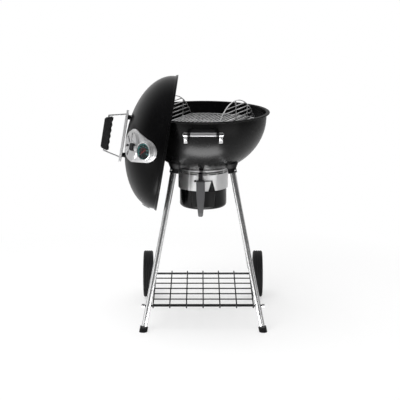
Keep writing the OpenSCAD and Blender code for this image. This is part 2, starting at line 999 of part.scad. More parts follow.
module lever_grip() {
  color("dimgray")
    translate(centre)
      rotate([0, 0, -90 - lever_rest])
        difference() {
          intersection() {
            translate([grip_y + 5 - grip_depth / 2, 0, grip_top - grip_len])
              rotate([90, 0, 90])
                linear_extrude(grip_depth)
                  polygon([
                    [-grip_foot_w / 2, 4], [-grip_foot_w / 2 + 4, 0], [grip_foot_w / 2 - 4, 0],
                    [grip_foot_w / 2, 4], [grip_top_w / 2, grip_len * 0.62],
                    [grip_top_w / 2, grip_len - 5], [grip_top_w / 2 - 5, grip_len],
                    [-grip_top_w / 2 + 5, grip_len], [-grip_top_w / 2, grip_len - 5],
                    [-grip_top_w / 2, grip_len * 0.62]]);
            translate([grip_y + 5, 60, grip_top - grip_len])
              rotate([90, 0, 0])
                linear_extrude(120)
                  polygon([
                    [-5, 0], [4, 0], [grip_depth / 2, 20], [grip_depth / 2, grip_len - 6],
                    [grip_depth / 2 - 4, grip_len], [-grip_depth / 2, grip_len],
                    [-grip_depth / 2, 10]]);
          }
          translate([grip_y + 3 - 0.1, -lever_w / 2 - 0.1, grip_top - 12 - seat])
            cube([lever_t + 0.2, lever_w + 0.2, 30]);
        }
}

// ---- Grates ----

module cooking_grate() {
  edge = acos(hinge_n / grate_r);
  color("silver")
    translate(centre)
      on_grate() {
        for (k = [-hinge_bars + 1:hinge_bars - 1]) {
          half = sqrt(pow(grate_r, 2) - pow(k * bar_pitch, 2));
          wire([k * bar_pitch, -half, 0], [k * bar_pitch, half, 0], bar_r);
        }
        for (side = [-1, 1]) {
          bar([side * hinge_n, -chord_half, 0], [side * hinge_n, chord_half, 0], ring_r);
          wire_arc(grate_r, ring_r, side * 90 - 90 + edge, side * 90 + 90 - edge);
        }
        for (y = [-rod_y, 0, rod_y])
          wire([-hinge_n, y, -bar_r - ring_r + 0.8], [hinge_n, y, -bar_r - ring_r + 0.8], ring_r);
      }
}

// Hinged segment of the grate, drawn raised about its hinge bar
module grate_flap(side) {
  first = hinge_n + bar_pitch;
  arc = acos((hinge_n + 9) / grate_r);
  on_grate()
    rotate([0, 0, side < 0 ? 180 : 0])
      translate([hinge_n, 0, 0])
        rotate([0, -flap_up, 0])
          translate([-hinge_n, 0, 0])
            difference() {
              union() {
                wire_arc(grate_r, bar_r, -arc, arc);
                for (n = [first : bar_pitch : grate_r - 8]) {
                  half = sqrt(pow(grate_r, 2) - pow(n, 2));
                  wire([n, -half, 0], [n, half, 0], bar_r);
                }
                wire([hinge_n + ring_r + 1, 0, -weld_sink], [grate_r, 0, -weld_sink], bar_r);
                for (y = [-eye_y, eye_y]) {
                  wire([hinge_n + ring_r + 1, y, -weld_sink],
                       [sqrt(pow(grate_r, 2) - y * y), y, -weld_sink], bar_r);
                  translate([hinge_n, y - eye_t / 2, 0])
                    rotate([-90, 0, 0])
                      cylinder(r = ring_r + run_fit + eye_out, h = eye_t);
                }
              }
              for (y = [-eye_y, eye_y])
                translate([hinge_n, y - eye_t, 0])
                  rotate([-90, 0, 0])
                    cylinder(r = ring_r + run_fit, h = eye_t * 2);
            }
}

module grate_flap_left() {
  color("silver")
    translate(centre)
      grate_flap(-1);
}

module grate_flap_right() {
  color("silver")
    translate(centre)
      grate_flap(1);
}

module charcoal_grate() {
  count = floor((coal_r - 6) / coal_pitch);
  color("gray")
    translate(centre)
      translate([0, 0, coal_z]) {
        wire_arc(coal_r, ring_r, 0, 360);
        for (k = [-count:count]) {
          half = sqrt(pow(coal_r, 2) - pow(k * coal_pitch, 2));
          wire([k * coal_pitch, -half, 0], [k * coal_pitch, half, 0], ring_r);
        }
        for (y = [-coal_rod_y, coal_rod_y]) {
          half = sqrt(pow(coal_r, 2) - y * y);
          wire([-half, y, -ring_r * 1.7], [half, y, -ring_r * 1.7], ring_r);
        }
      }
}

// ---- Hinge ----

module hinge_bracket() {
  face = arm_y - 1.8;
  color("dimgray")
    translate(centre)
      difference() {
        union() {
          translate([0, face, pivot_z])
            rotate([90, 0, 0])
              cylinder(r = hinge_plate_r, h = hinge_plate_t);
          for (x = [-36, 30])
            translate([x, 180, pivot_z - 31])
              cube([6, face - 180 - hinge_plate_t / 2, 62]);
        }
        bowl_solid(seat);
        translate([0, face + cut, pivot_z])
          rotate([90, 0, 0])
            cylinder(r = hinge_r + 0.1, h = 40);
        translate([0, face + cut, 0])
          rotate([90, 0, 0])
            at_stops(peg_r + 0.1, hinge_plate_t + 2 * cut);
      }
}

module at_stops(r, h) {
  across = arm_w / 2 + peg_r + seat;
  translate([0, pivot_z]) {
    translate([across, peg_out])
      cylinder(r = r, h = h);
    rotate([0, 0, lid_open])
      translate([-across, peg_out])
        cylinder(r = r, h = h);
  }
}

// Pegs that the arm meets when the lid is open and when it is shut
module hinge_stops() {
  color("silver")
    translate(centre)
      translate([0, arm_y + arm_t, 0])
        rotate([90, 0, 0])
          at_stops(peg_r, arm_t + 1.8 + hinge_plate_t);
}

module hinge_pin() {
  head = arm_y + arm_t + 1.2;
  color("silver")
    translate(centre)
      translate([0, head, pivot_z]) {
        rotate([90, 0, 0])
          cylinder(r = hinge_r, h = head - arm_y + 1.8 + hinge_plate_t + 10);
        rotate([-90, 0, 0])
          screw_head(13, 8);
        translate([0, -head + arm_y - 1.8 - hinge_plate_t - seat, 0])
          rotate([90, 0, 0])
            cylinder(r = 12, h = 6);
      }
}

// ---- Lid ----

module lid_shell() {
  a = dome_r + lid_wall;
  b = dome_h + lid_wall;
  color("black")
    translate(centre)
      on_lid()
        difference() {
          rotate_extrude()
            polygon(concat(
              shift(quarter(a, b, 90, asin(lid_wall / b)), [0, base_z]),
              [[lip_in + lid_wall, base_z + lid_wall]],
              shift(quarter(bead_r, bead_r, 90, -90), [lip_in + lid_wall, lip_z + bead_r]),
              [[lip_in, lip_z], [lip_in, base_z]],
              shift(quarter(dome_r, dome_h, 0, 90), [0, base_z])));
          at_vent()
            translate([0, 0, -40])
              cylinder(r = disc_r - 5, h = 80);
          at_thermometer()
            translate([0, 0, -20])
              cylinder(r = 8.2, h = 40);
        }
}

// Arm from the hinge pin to a foot that follows the dome
module lid_hinge_arm() {
  foot_in = dome_r - 25;
  color("dimgray")
    translate(centre)
      on_lid()
        difference() {
          union() {
            translate([-arm_w / 2, arm_y, pivot_z])
              cube([arm_w, arm_t, arm_foot_z + arm_foot_h - pivot_z]);
            translate([0, arm_y + arm_t, pivot_z])
              rotate([90, 0, 0])
                cylinder(r = arm_w / 2 + 3, h = arm_t);
            translate([-arm_w, foot_in, arm_foot_z])
              cube([arm_w * 2, arm_y + arm_t - foot_in, arm_foot_h]);
          }
          dome_solid(seat);
          translate([0, arm_y + arm_t + cut, pivot_z])
            rotate([90, 0, 0])
              cylinder(r = hinge_r + run_fit, h = arm_t + 2 * cut);
        }
}

module lid_bolts() {
  color("silver")
    translate(centre)
      on_lid() {
        for (x = [-20, 20])
          translate([x, arm_y + arm_t + seat, arm_foot_z + 24])
            rotate([-90, 0, 0])
              screw_head(6, 4);
        for (x = [-bail_foot, bail_foot])
          for (y = [-18, 18])
            translate([x, y, shield_z + 2 + 2 * seat])
              screw_head(5, 3);
      }
}

// Channel with turned up sides, between the dome and the handle
module lid_heat_shield() {
  color("silver")
    translate(centre)
      on_lid()
        translate([-shield_len / 2, -shield_w / 2, shield_z - shield_t])
          difference() {
            cube([shield_len, shield_w, shield_edge + shield_t]);
            translate([-cut, shield_t, shield_t])
              cube([shield_len + 2 * cut, shield_w - 2 * shield_t, shield_edge + cut]);
          }
}

module lid_standoffs() {
  low = lid_top - 40;
  color("black")
    translate(centre)
      on_lid()
        difference() {
          for (x = [-standoff_x, standoff_x])
            translate([x, 0, low])
              cylinder(r = 10, h = shield_z - shield_t - seat - low);
          dome_solid(seat);
        }
}

// Bent rod with flat feet, through the grip
module lid_handle_rod() {
  mid = grip_z + lh_high / 2;
  low = shield_z + seat;
  top_x = lh_len / 2 + 3;
  color("silver")
    translate(centre)
      on_lid() {
        for (side = [-1, 1]) {
          bar([side * bail_foot, 0, low + 1], [side * top_x, 0, mid + 2], bail_r);
          translate([side * bail_foot - 8, -26, low])
            cube([16, 52, 2]);
        }
        bar([-top_x, 0, mid], [top_x, 0, mid], bail_r);
      }
}

module lid_handle_grip() {
  half = lh_len / 2;
  color("black")
    translate(centre)
      on_lid()
        translate([0, 0, grip_z])
          difference() {
            intersection() {
              translate([0, lh_deep / 2, 0])
                rotate([90, 0, 0])
                  linear_extrude(lh_deep)
                    polygon([
                      [-half + 2, 0], [half - 2, 0], [half, 3], [half - lh_slope + 1, lh_high - 5],
                      [half - lh_slope - 5, lh_high], [-half + lh_slope + 5, lh_high],
                      [-half + lh_slope - 1, lh_high - 5], [-half, 3]]);
              translate([-half, 0, 0])
                rotate([90, 0, 90])
                  linear_extrude(lh_len)
                    polygon([
                      [-lh_deep / 2 + 6, 0], [lh_deep / 2 - 6, 0], [lh_deep / 2, 7],
                      [lh_deep / 2, lh_high - 9], [lh_deep / 2 - 7, lh_high],
                      [-lh_deep / 2 + 7, lh_high], [-lh_deep / 2, lh_high - 9],
                      [-lh_deep / 2, 7]]);
            }
            translate([-half - cut, 0, lh_high / 2])
              rotate([0, 90, 0])
                cylinder(r = bail_r + 0.1, h = lh_len + 2 * cut);
            for (side = [-1, 1])
              translate([side * (half + 3), 0, lh_high / 2])
                sphere(r = bail_r + 6);
          }
}

// Bent strap on the dome opposite the lid's free side
module lid_strap() {
  low = pivot_z + 184;
  color("silver")
    translate(centre)
      on_lid()
        difference() {
          intersection() {
            dome_solid(10);
            translate([-330, -10, low])
              cube([100, 20, 36]);
          }
          intersection() {
            dome_solid(8);
            translate([-331, -11, low + 3])
              cube([102, 22, 30]);
          }
          dome_solid(seat);
        }
}

// ---- Lid vent and thermometer ----

function cover_points(r1, r2, apart) =
  let (b = acos((r1 - r2) / apart))
    concat(
      [for (i = [0:arc_steps]) let (t = -90 + b + (360 - 2 * b) * i / arc_steps)
        [r1 * cos(t), r1 * sin(t)]],
      [for (i = [0:arc_steps]) let (t = -90 - b + 2 * b * i / arc_steps)
        [r2 * cos(t), r2 * sin(t) - apart]]);

// Prism around the vent and the thermometer, inset by a distance
module cover_prism(inset) {
  v = [th_out - lv_out, dome_z(lv_out, 0) - dome_z(th_out, 0)];
  translate([0, -lv_out, dome_z(lv_out, 0)])
    rotate([atan2(v[1], v[0]), 0, 0])
      translate([0, 0, -70])
        linear_extrude(140)
          polygon(cover_points(disc_r + plate_edge - inset, th_edge_r - inset, norm(v)));
}

// Tapered slots of the lid's vent, cut through a plate
module vent_slots(low, high) {
  out = disc_r - 7;
  for (k = [0:slot_n - 1])
    rotate([0, 0, k * slot_step])
      translate([0, 0, low])
        linear_extrude(high - low)
          polygon([
            [out - slot_len, -slot_wide / 4], [out - 2, -slot_wide / 2], [out, -slot_wide / 2 + 2],
            [out, slot_wide / 2 - 2], [out - 2, slot_wide / 2], [out - slot_len, slot_wide / 4]]);
}

module lid_vent_plate() {
  color("silver")
    translate(centre)
      on_lid()
        difference() {
          union() {
            intersection() {
              dome_solid(plate_h - 3);
              cover_prism(0);
            }
            intersection() {
              dome_solid(plate_h);
              cover_prism(3);
            }
            at_vent()
              translate([0, 0, -10])
                cylinder(r = disc_r + 4, h = 10 + plate_h);
            at_thermometer()
              translate([0, 0, -10])
                cylinder(r = th_r + 4, h = 10 + plate_h);
          }
          intersection() {
            dome_solid(plate_h - 3 - plate_t);
            cover_prism(3 + plate_t);
          }
          at_vent()
            translate([0, 0, -12])
              cylinder(r = disc_r + 4 - plate_t, h = 12 + plate_h - plate_t);
          at_thermometer() {
            translate([0, 0, -12])
              cylinder(r = th_r + 4 - plate_t, h = 12 + plate_h - plate_t);
            translate([0, 0, -12])
              cylinder(r = 8.2, h = 40);
          }
          dome_solid(seat);
          at_vent() {
            vent_slots(-20, plate_h + cut);
            translate([0, 0, -20])
              cylinder(r = 4.1, h = 40);
          }
        }
}

module vent_rivet() {
  color("silver")
    translate(centre)
      on_lid()
        at_vent() {
          translate([0, 0, plate_h - plate_t - 3])
            cylinder(r = 4, h = plate_t + 3 + disc_t + 1);
          translate([0, 0, plate_h - plate_t - 4 - seat])
            cylinder(r = 7, h = 4);
          translate([0, 0, plate_h + disc_t + 0.8])
            screw_head(9, 5);
        }
}

module vent_disc() {
  color("silver")
    translate(centre)
      on_lid()
        at_vent()
          translate([0, 0, plate_h + 0.4]) {
            difference() {
              cylinder(r = disc_r, h = disc_t);
              vent_slots(-cut, disc_t + cut);
              translate([0, 0, -cut])
                cylinder(r = 4.1, h = disc_t + 2 * cut);
            }
            translate([-9, -disc_r + 1, 0.5])
              cube([18, 12, 8]);
          }
}

module vent_tab() {
  color("black")
    translate(centre)
      on_lid()
        at_vent()
          translate([0, 0, plate_h + 0.4 + disc_t + seat])
            linear_extrude(12)
              polygon([
                [-11, -16], [-15, -22], [-15, -40], [-12, -45], [12, -45], [15, -40], [15, -22],
                [11, -16]]);
}

glass_t = 1.6;

module thermometer_case() {
  color("silver")
    translate(centre)
      on_lid()
        at_thermometer()
          translate([0, 0, plate_h + seat])
            difference() {
              union() {
                cylinder(r1 = th_r, r2 = th_r, h = th_h - 3);
                translate([0, 0, th_h - 3])
                  cylinder(r1 = th_r, r2 = th_r - 2, h = 3);
                translate([0, 0, -plate_h - 12])
                  cylinder(r = 7.9, h = plate_h + 13);
                translate([0, 0, -plate_h - 10])
                  cylinder(r = 12, h = 5);
              }
              translate([0, 0, th_h - 4.5])
                cylinder(r = th_r - 4, h = 6);
              translate([0, 0, th_h - 9])
                cylinder(r = 2 + run_fit, h = 10);
            }
}

module thermometer_glass() {
  color("white", 0.4)
    translate(centre)
      on_lid()
        at_thermometer()
          translate([0, 0, plate_h + seat + th_h - 0.4 - glass_t])
            cylinder(r = th_r - 4 - 0.2, h = glass_t);
}

module thermometer_needle() {
  color("red")
    translate(centre)
      on_lid()
        at_thermometer()
          translate([0, 0, plate_h + seat + th_h])
            rotate([0, 0, 140]) {
              translate([0, 0, -4])
                linear_extrude(0.8)
                  polygon([[-9, -1.6], [0, -2.2], [27, -0.5], [27, 0.5], [0, 2.2], [-9, 1.6]]);
              translate([0, 0, -8])
                cylinder(r = 2, h = 4.6);
            }
}

// ---- Parts to show ----

bowl();
bowl_rim();
bowl_handle_grip();
bowl_handle_bracket_left();
bowl_handle_bracket_right();
grate_supports();
charcoal_supports();
leg_socket_front_left();
leg_socket_front_right();
leg_socket_rear_left();
leg_socket_rear_right();
leg_front_left();
leg_front_right();
leg_rear_left();
leg_rear_right();
stand_bolts();
foot_cap_left();
foot_cap_right();
axle_bracket_left();
axle_bracket_right();
axle();
axle_nuts();
shelf();
shelf_rod();
shelf_nuts();
ash_collar();
ash_band();
pan_clips();
pan_latch();
hinge_bracket();
hinge_pin();
hinge_stops();
damper_blades();
damper_shaft();
lever_arm();
lever_grip();
ash_pan();
cooking_grate();
grate_flap_left();
grate_flap_right();
charcoal_grate();
wheel_tyre_left();
wheel_hub_left();
wheel_tyre_right();
wheel_hub_right();
lid_shell();
lid_hinge_arm();
lid_bolts();
lid_heat_shield();
lid_standoffs();
lid_handle_rod();
lid_handle_grip();
lid_strap();
lid_vent_plate();
vent_rivet();
vent_disc();
vent_tab();
thermometer_case();
thermometer_glass();
thermometer_needle();
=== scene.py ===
"""Kettle charcoal grill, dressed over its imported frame.

Lengths in the grill's classes are millimetres in the frame of the piece they
describe, and a Place turns them into the part's own frame. The meshes and the
studio are in metres.
"""

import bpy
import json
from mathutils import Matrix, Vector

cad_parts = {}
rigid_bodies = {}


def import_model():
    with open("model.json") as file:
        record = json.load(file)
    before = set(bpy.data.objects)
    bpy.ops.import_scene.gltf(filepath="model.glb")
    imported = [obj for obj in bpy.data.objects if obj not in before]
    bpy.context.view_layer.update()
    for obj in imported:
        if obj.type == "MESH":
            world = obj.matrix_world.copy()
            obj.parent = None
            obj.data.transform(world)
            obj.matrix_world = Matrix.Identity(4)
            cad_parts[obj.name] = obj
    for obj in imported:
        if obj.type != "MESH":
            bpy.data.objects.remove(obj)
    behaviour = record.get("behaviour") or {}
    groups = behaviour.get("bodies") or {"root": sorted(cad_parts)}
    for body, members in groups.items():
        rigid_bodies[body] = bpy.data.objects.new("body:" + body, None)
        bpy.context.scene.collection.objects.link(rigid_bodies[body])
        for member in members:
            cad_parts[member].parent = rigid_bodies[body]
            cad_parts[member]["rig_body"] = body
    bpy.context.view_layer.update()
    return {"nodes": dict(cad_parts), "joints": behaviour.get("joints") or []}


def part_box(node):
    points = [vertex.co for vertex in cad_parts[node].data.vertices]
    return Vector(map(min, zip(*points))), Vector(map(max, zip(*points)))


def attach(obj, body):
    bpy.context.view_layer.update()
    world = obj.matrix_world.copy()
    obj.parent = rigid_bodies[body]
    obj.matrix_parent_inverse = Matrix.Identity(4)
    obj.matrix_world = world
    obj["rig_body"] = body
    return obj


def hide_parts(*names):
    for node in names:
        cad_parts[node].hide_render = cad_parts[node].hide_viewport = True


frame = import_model()

import json
import logging
import math
from dataclasses import dataclass, field, replace
from enum import Enum
from typing import Sequence

import bmesh
import bpy
import numpy as np
from mathutils import Matrix

Array = np.ndarray
Span = tuple[float, float]
Point = tuple[float, float, float]
Colour = tuple[float, float, float]
LOG = logging.getLogger("grill")
MM = 0.001
# Points nearer than this, in metres, are merged: in a new mesh, and in a node's.
WELD, NODE_WELD = 1e-6, 2e-6
# Faces of a node that meet at less than this, in degrees, become one.
FLAT = 1.0


# ---- Places -------------------------------------------------------------

@dataclass(frozen=True)
class Place:
    """A rigid frame: the columns of turn are its axes, origin is in millimetres."""

    origin: Array
    turn: Array

    def out(self, points: Array) -> Array:
        """Points of this frame, given in the part's frame."""
        return points @ self.turn.T + self.origin

    def child(self, origin: Sequence[float], turn: Array | None = None) -> "Place":
        """A frame inside this one.

        Args:
            origin: Its origin in this frame, in millimetres.
            turn: Its axes as columns, or None for the same axes.

        Returns:
            The inner frame, expressed in the part's frame.
        """
        inner = np.eye(3) if turn is None else turn
        return Place(self.out(np.asarray(origin, float)), self.turn @ inner)


def rot(axis: str, degrees: float) -> Array:
    """Rotation matrix about x, y or z by the right-hand rule.

    Args:
        axis: One of the letters x, y and z.
        degrees: The angle.

    Returns:
        The 3 by 3 matrix.
    """
    c, s = math.cos(math.radians(degrees)), math.sin(math.radians(degrees))
    i, j = {"x": (1, 2), "y": (2, 0), "z": (0, 1)}[axis]
    matrix = np.eye(3)
    matrix[i, i] = matrix[j, j] = c
    matrix[i, j], matrix[j, i] = -s, s
    return matrix


# The stand's frame is on the bowl's axis, above the floor. The lid's is the same
# frame while the lid is shut, turned back about its hinge as the lid is open.
LID_HINGE = next(joint for joint in frame["joints"] if joint["name"] == "lid_hinge")
PIVOT_Z = LID_HINGE["pos_m"][2] / MM
OPEN = LID_HINGE["range_deg"][1]
BOWL_LOW, BOWL_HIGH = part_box("bowl")
RIM_Z = round(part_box("bowl_rim")[1][2] / MM, 2)
AXIS = [(BOWL_LOW[0] + BOWL_HIGH[0]) / 2, (BOWL_LOW[1] + BOWL_HIGH[1]) / 2, 0.0]
STAND = Place(np.array(AXIS) / MM, np.eye(3))
LID = STAND.child([0, 0, PIVOT_Z], rot("y", -OPEN)).child([0, 0, -PIVOT_Z])


# ---- Surfaces -----------------------------------------------------------

@dataclass
class Sheet:
    """A grid of points (rows, columns, 3) whose rows are closed rings.

    wrap_rows joins the last row to the first. keep is a mask of the cells
    (rows, columns) that exist, or None for all of them. uv is a grid of the
    same size, or None.
    """

    points: Array
    wrap_rows: bool = False
    keep: Array | None = None
    uv: Array | None = None

    def faces(self) -> Array:
        """Quads by index: cell (i, j) joins points (i, j) to (i + 1, j + 1).

        Returns:
            Four places in the flat list of points for each cell.
        """
        rows, cols = self.points.shape[:2]
        a, b = np.indices((rows if self.wrap_rows else rows - 1, cols))
        if self.keep is not None:
            a, b = a[self.keep], b[self.keep]
        a2, b2 = (a + 1) % rows, (b + 1) % cols
        quads = np.stack([a * cols + b, a * cols + b2, a2 * cols + b2, a2 * cols + b], -1)
        return quads.reshape(-1, 4)

    def placed(self, place: Place) -> "Sheet":
        """The same sheet with its points moved out of a frame."""
        return replace(self, points=place.out(self.points))


def turned(profile: Array, columns: int, loop: bool = False, keep: Array | None = None) -> Sheet:
    """Surface of revolution about z.

    Each profile point (r, z) goes to (r cos a, r sin a, z) for even angles a.

    Args:
        profile: Points (r, z) from one end of the surface to the other.
        columns: The count of angles.
        loop: The profile joins its own start.
        keep: Cells (profile, angle) that exist, or None for all.

    Returns:
        The sheet, closed around the axis.
    """
    a = np.radians(np.linspace(0, 360, columns, endpoint=False))
    r, z = profile[:, :1], profile[:, 1:]
    points = np.stack([r * np.cos(a), r * np.sin(a), z + 0 * a], -1)
    return Sheet(points, loop, keep)


def bend(centre: Span, radii: Span, angles: Array) -> Array:
    """Arc of an ellipse: centre + (first radius * cos a, second radius * sin a).

    Args:
        centre: Its centre.
        radii: Its two half axes, the same for a circle.
        angles: The angles of its points, in degrees.

    Returns:
        The points (n, 2).
    """
    a = np.radians(angles)
    return np.array(centre) + np.array(radii) * np.stack([np.cos(a), np.sin(a)], 1)


def ring(radius: float, sides: int, centre: Span = (0.0, 0.0)) -> Array:
    """Circle of even points (x, y) in the plane of a section."""
    return bend(centre, (radius, radius), np.linspace(0, 360, sides, endpoint=False))


def prism(outline: Array, low: float, high: float) -> Sheet:
    """Closed prism over an outline, with its ends drawn in to the middle.

    Args:
        outline: Points (x, y) around it.
        low: Its lower end along z.
        high: Its upper end.

    Returns:
        The sheet.
    """
    middle = np.repeat(outline.mean(0)[None], len(outline), 0)
    rows = [(middle, low), (outline, low), (outline, high), (middle, high)]
    return Sheet(np.stack([np.column_stack([xy, np.full(len(xy), z)]) for xy, z in rows]))


# ---- Pieces -------------------------------------------------------------

@dataclass(frozen=True)
class Role:
    """Where a piece belongs: its body, slot and the nodes it stands for."""

    body: str
    slot: str
    nodes: tuple[str, ...] = ()


def linked(name: str, mesh: bpy.types.Mesh) -> bpy.types.Object:
    """New object of a mesh, at the origin of the scene.

    Args:
        name: The object's name.
        mesh: Its mesh, in metres.

    Returns:
        The object.
    """
    item = bpy.data.objects.new(name, mesh)
    bpy.context.scene.collection.objects.link(item)
    return item


def new_object(name: str, sheets: Sequence[Sheet]) -> bpy.types.Object:
    """Mesh object in metres from sheets whose points are in millimetres.

    Points that meet are merged, which closes poles, and the normals are made
    consistent.

    Args:
        name: The object's name.
        sheets: Its surfaces.

    Returns:
        The object.
    """
    points, faces, uvs, start = [], [], [], 0
    for sheet in sheets:
        flat = sheet.points.reshape(-1, 3)
        quads = sheet.faces()
        points.append(flat)
        faces.append(quads + start)
        uv = np.zeros((len(flat), 2)) if sheet.uv is None else sheet.uv.reshape(-1, 2)
        uvs.append(uv[quads.ravel()])
        start += len(flat)
    mesh = bpy.data.meshes.new(name)
    mesh.from_pydata(np.concatenate(points) * MM, [], np.concatenate(faces))
    if any(sheet.uv is not None for sheet in sheets):
        layer = mesh.uv_layers.new(name="face")
        layer.data.foreach_set("uv", np.concatenate(uvs).ravel())
    bm = bmesh.new()
    bm.from_mesh(mesh)
    bmesh.ops.remove_doubles(bm, verts=bm.verts, dist=WELD)
    bmesh.ops.dissolve_degenerate(bm, dist=WELD, edges=bm.edges)
    bmesh.ops.recalc_face_normals(bm, faces=bm.faces)
    bm.to_mesh(mesh)
    bm.free()
    return linked(name, mesh)


def smooth(item: bpy.types.Object, angle: float) -> None:
    """Smooth shading, with edges sharper than the angle left crisp.

    Args:
        item: The piece.
        angle: The angle in degrees.
    """
    mesh = item.data
    mesh.polygons.foreach_set("use_smooth", np.ones(len(mesh.polygons), bool))
    mesh.set_sharp_from_angle(angle=math.radians(angle))


def thicken(item: bpy.types.Object, wall: float) -> None:
    """Wall around an open sheet, half of it on each side.

    Args:
        item: The piece.
        wall: The wall's thickness in millimetres.
    """
    mod = item.modifiers.new("wall", "SOLIDIFY")
    mod.thickness = wall * MM
    mod.offset = 0.0
    mod.use_even_offset = True


def soften(item: bpy.types.Object, edge: float, angle: float) -> None:
    """Small bevel on the edges sharper than an angle.

    Args:
        item: The piece.
        edge: The bevel's width in millimetres.
        angle: The angle in degrees.
    """
    mod = item.modifiers.new("edge", "BEVEL")
    mod.width = edge * MM
    mod.segments = 2
    mod.limit_method = "ANGLE"
    mod.angle_limit = math.radians(angle)
    mod.harden_normals = True


def cut(item: bpy.types.Object, cutter: Sheet) -> None:
    """Takes a closed sheet out of a piece and keeps the result as its mesh.

    Args:
        item: The piece, whose modifiers are applied too.
        cutter: The closed sheet.
    """
    tool = new_object(item.name + "_cutter", [cutter])
    mod = item.modifiers.new("cut", "BOOLEAN")
    mod.object = tool
    mod.solver = "EXACT"
    view = bpy.context.evaluated_depsgraph_get()
    done = bpy.data.meshes.new_from_object(item.evaluated_get(view))
    item.modifiers.clear()
    item.data = done
    bpy.data.objects.remove(tool)


def settle(item: bpy.types.Object, role: Role, look: "Look") -> None:
    """Gives a piece its material, its body and its nodes.

    Args:
        item: The piece.
        role: Its body, slot and nodes.
        look: Its finish.
    """
    item.data.materials.clear()
    item.data.materials.append(look.material())
    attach(item, role.body)
    if role.nodes:
        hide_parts(*role.nodes)
    LOG.info("%s rides on %s", item.name, role.body)


def add(name: str, sheets: Sequence[Sheet], role: Role, look: "Look", angle: float = 35.0) -> None:
    """Builds a piece of closed sheets, dresses it and puts it on its body.

    Args:
        name: The piece's name.
        sheets: Its surfaces, in the part's frame.
        role: Its body, slot and nodes.
        look: Its finish.
        angle: Edges sharper than this, in degrees, stay crisp.
    """
    item = new_object(name, sheets)
    smooth(item, angle)
    settle(item, role, look)


def from_node(node: str, slot: str, look: "Look", edge: float, angle: float) -> None:
    """A finished copy of a CAD node: merged, smooth, with small bevels.

    Args:
        node: The node to copy and stand for.
        slot: The slot of its finish, kept in its role.
        look: Its finish.
        edge: Width of the bevels in millimetres, 0 for none.
        angle: Edges sharper than this, in degrees, are bevelled and stay crisp.
    """
    source = frame["nodes"][node]
    mesh = source.data.copy()
    bm = bmesh.new()
    bm.from_mesh(mesh)
    bmesh.ops.remove_doubles(bm, verts=bm.verts, dist=NODE_WELD)
    bmesh.ops.dissolve_limit(bm, angle_limit=math.radians(FLAT), verts=bm.verts, edges=bm.edges)
    bm.to_mesh(mesh)
    bm.free()
    item = linked(node + "_skin", mesh)
    smooth(item, angle)
    if edge:
        soften(item, edge, angle)
    settle(item, Role(source["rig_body"], slot, (node,)), look)


# ---- Shader writing -----------------------------------------------------

class Val:
    """One shader socket; Python operators on it add Math nodes."""

    def __init__(self, nodes: "Nodes", socket: bpy.types.NodeSocket) -> None:
        """Keeps the socket and the tree that it is in."""
        self.nodes, self.socket = nodes, socket

    def _math(self, kind: str, *terms: "Val | float") -> "Val":
        """A Math node of a kind on the terms."""
        return self.nodes.node("ShaderNodeMath", {"operation": kind}, dict(enumerate(terms)))

    def __add__(self, other: "Val | float") -> "Val":
        """Sum."""
        return self._math("ADD", self, other)

    def __sub__(self, other: "Val | float") -> "Val":
        """Difference."""
        return self._math("SUBTRACT", self, other)

    def __rsub__(self, other: float) -> "Val":
        """Difference from a number."""
        return self._math("SUBTRACT", other, self)

    def __mul__(self, other: "Val | float") -> "Val":
        """Product."""
        return self._math("MULTIPLY", self, other)

    def __truediv__(self, other: "Val | float") -> "Val":
        """Quotient."""
        return self._math("DIVIDE", self, other)

    def __pow__(self, other: float) -> "Val":
        """Power."""
        return self._math("POWER", self, other)

    def __gt__(self, other: "Val | float") -> "Val":
        """1 where greater, else 0."""
        return self._math("GREATER_THAN", self, other)

    def __lt__(self, other: "Val | float") -> "Val":
        """1 where less, else 0."""
        return self._math("LESS_THAN", self, other)

    __radd__ = __add__
    __rmul__ = __mul__

    def within(self, low: float, high: float) -> "Val":
        """1 between low and high, else 0."""
        return (self > low) * (self < high)

    def hypot(self, other: "Val") -> "Val":
        """Root of the sum of both squares."""
        return (self * self + other * other) ** 0.5

    def frac(self) -> "Val":
        """Fractional part."""
        return self._math("FRACT", self)

    def abs(self) -> "Val":
        """Size without sign."""
        return self._math("ABSOLUTE", self)

    def clip(self) -> "Val":
        """Kept between 0 and 1."""
        return self.nodes.node("ShaderNodeClamp", {}, {"Value": self})

    def full(self) -> "Val":
        """Noise stretched so that most of it runs from 0 to 1."""
        return self.ramp(0.3, 0.7)

    def ramp(self, low: float, high: float) -> "Val":
        """0 below low, 1 above high, straight between."""
        sockets = {"Value": self, "From Min": low, "From Max": high}
        return self.nodes.node("ShaderNodeMapRange", {}, sockets)


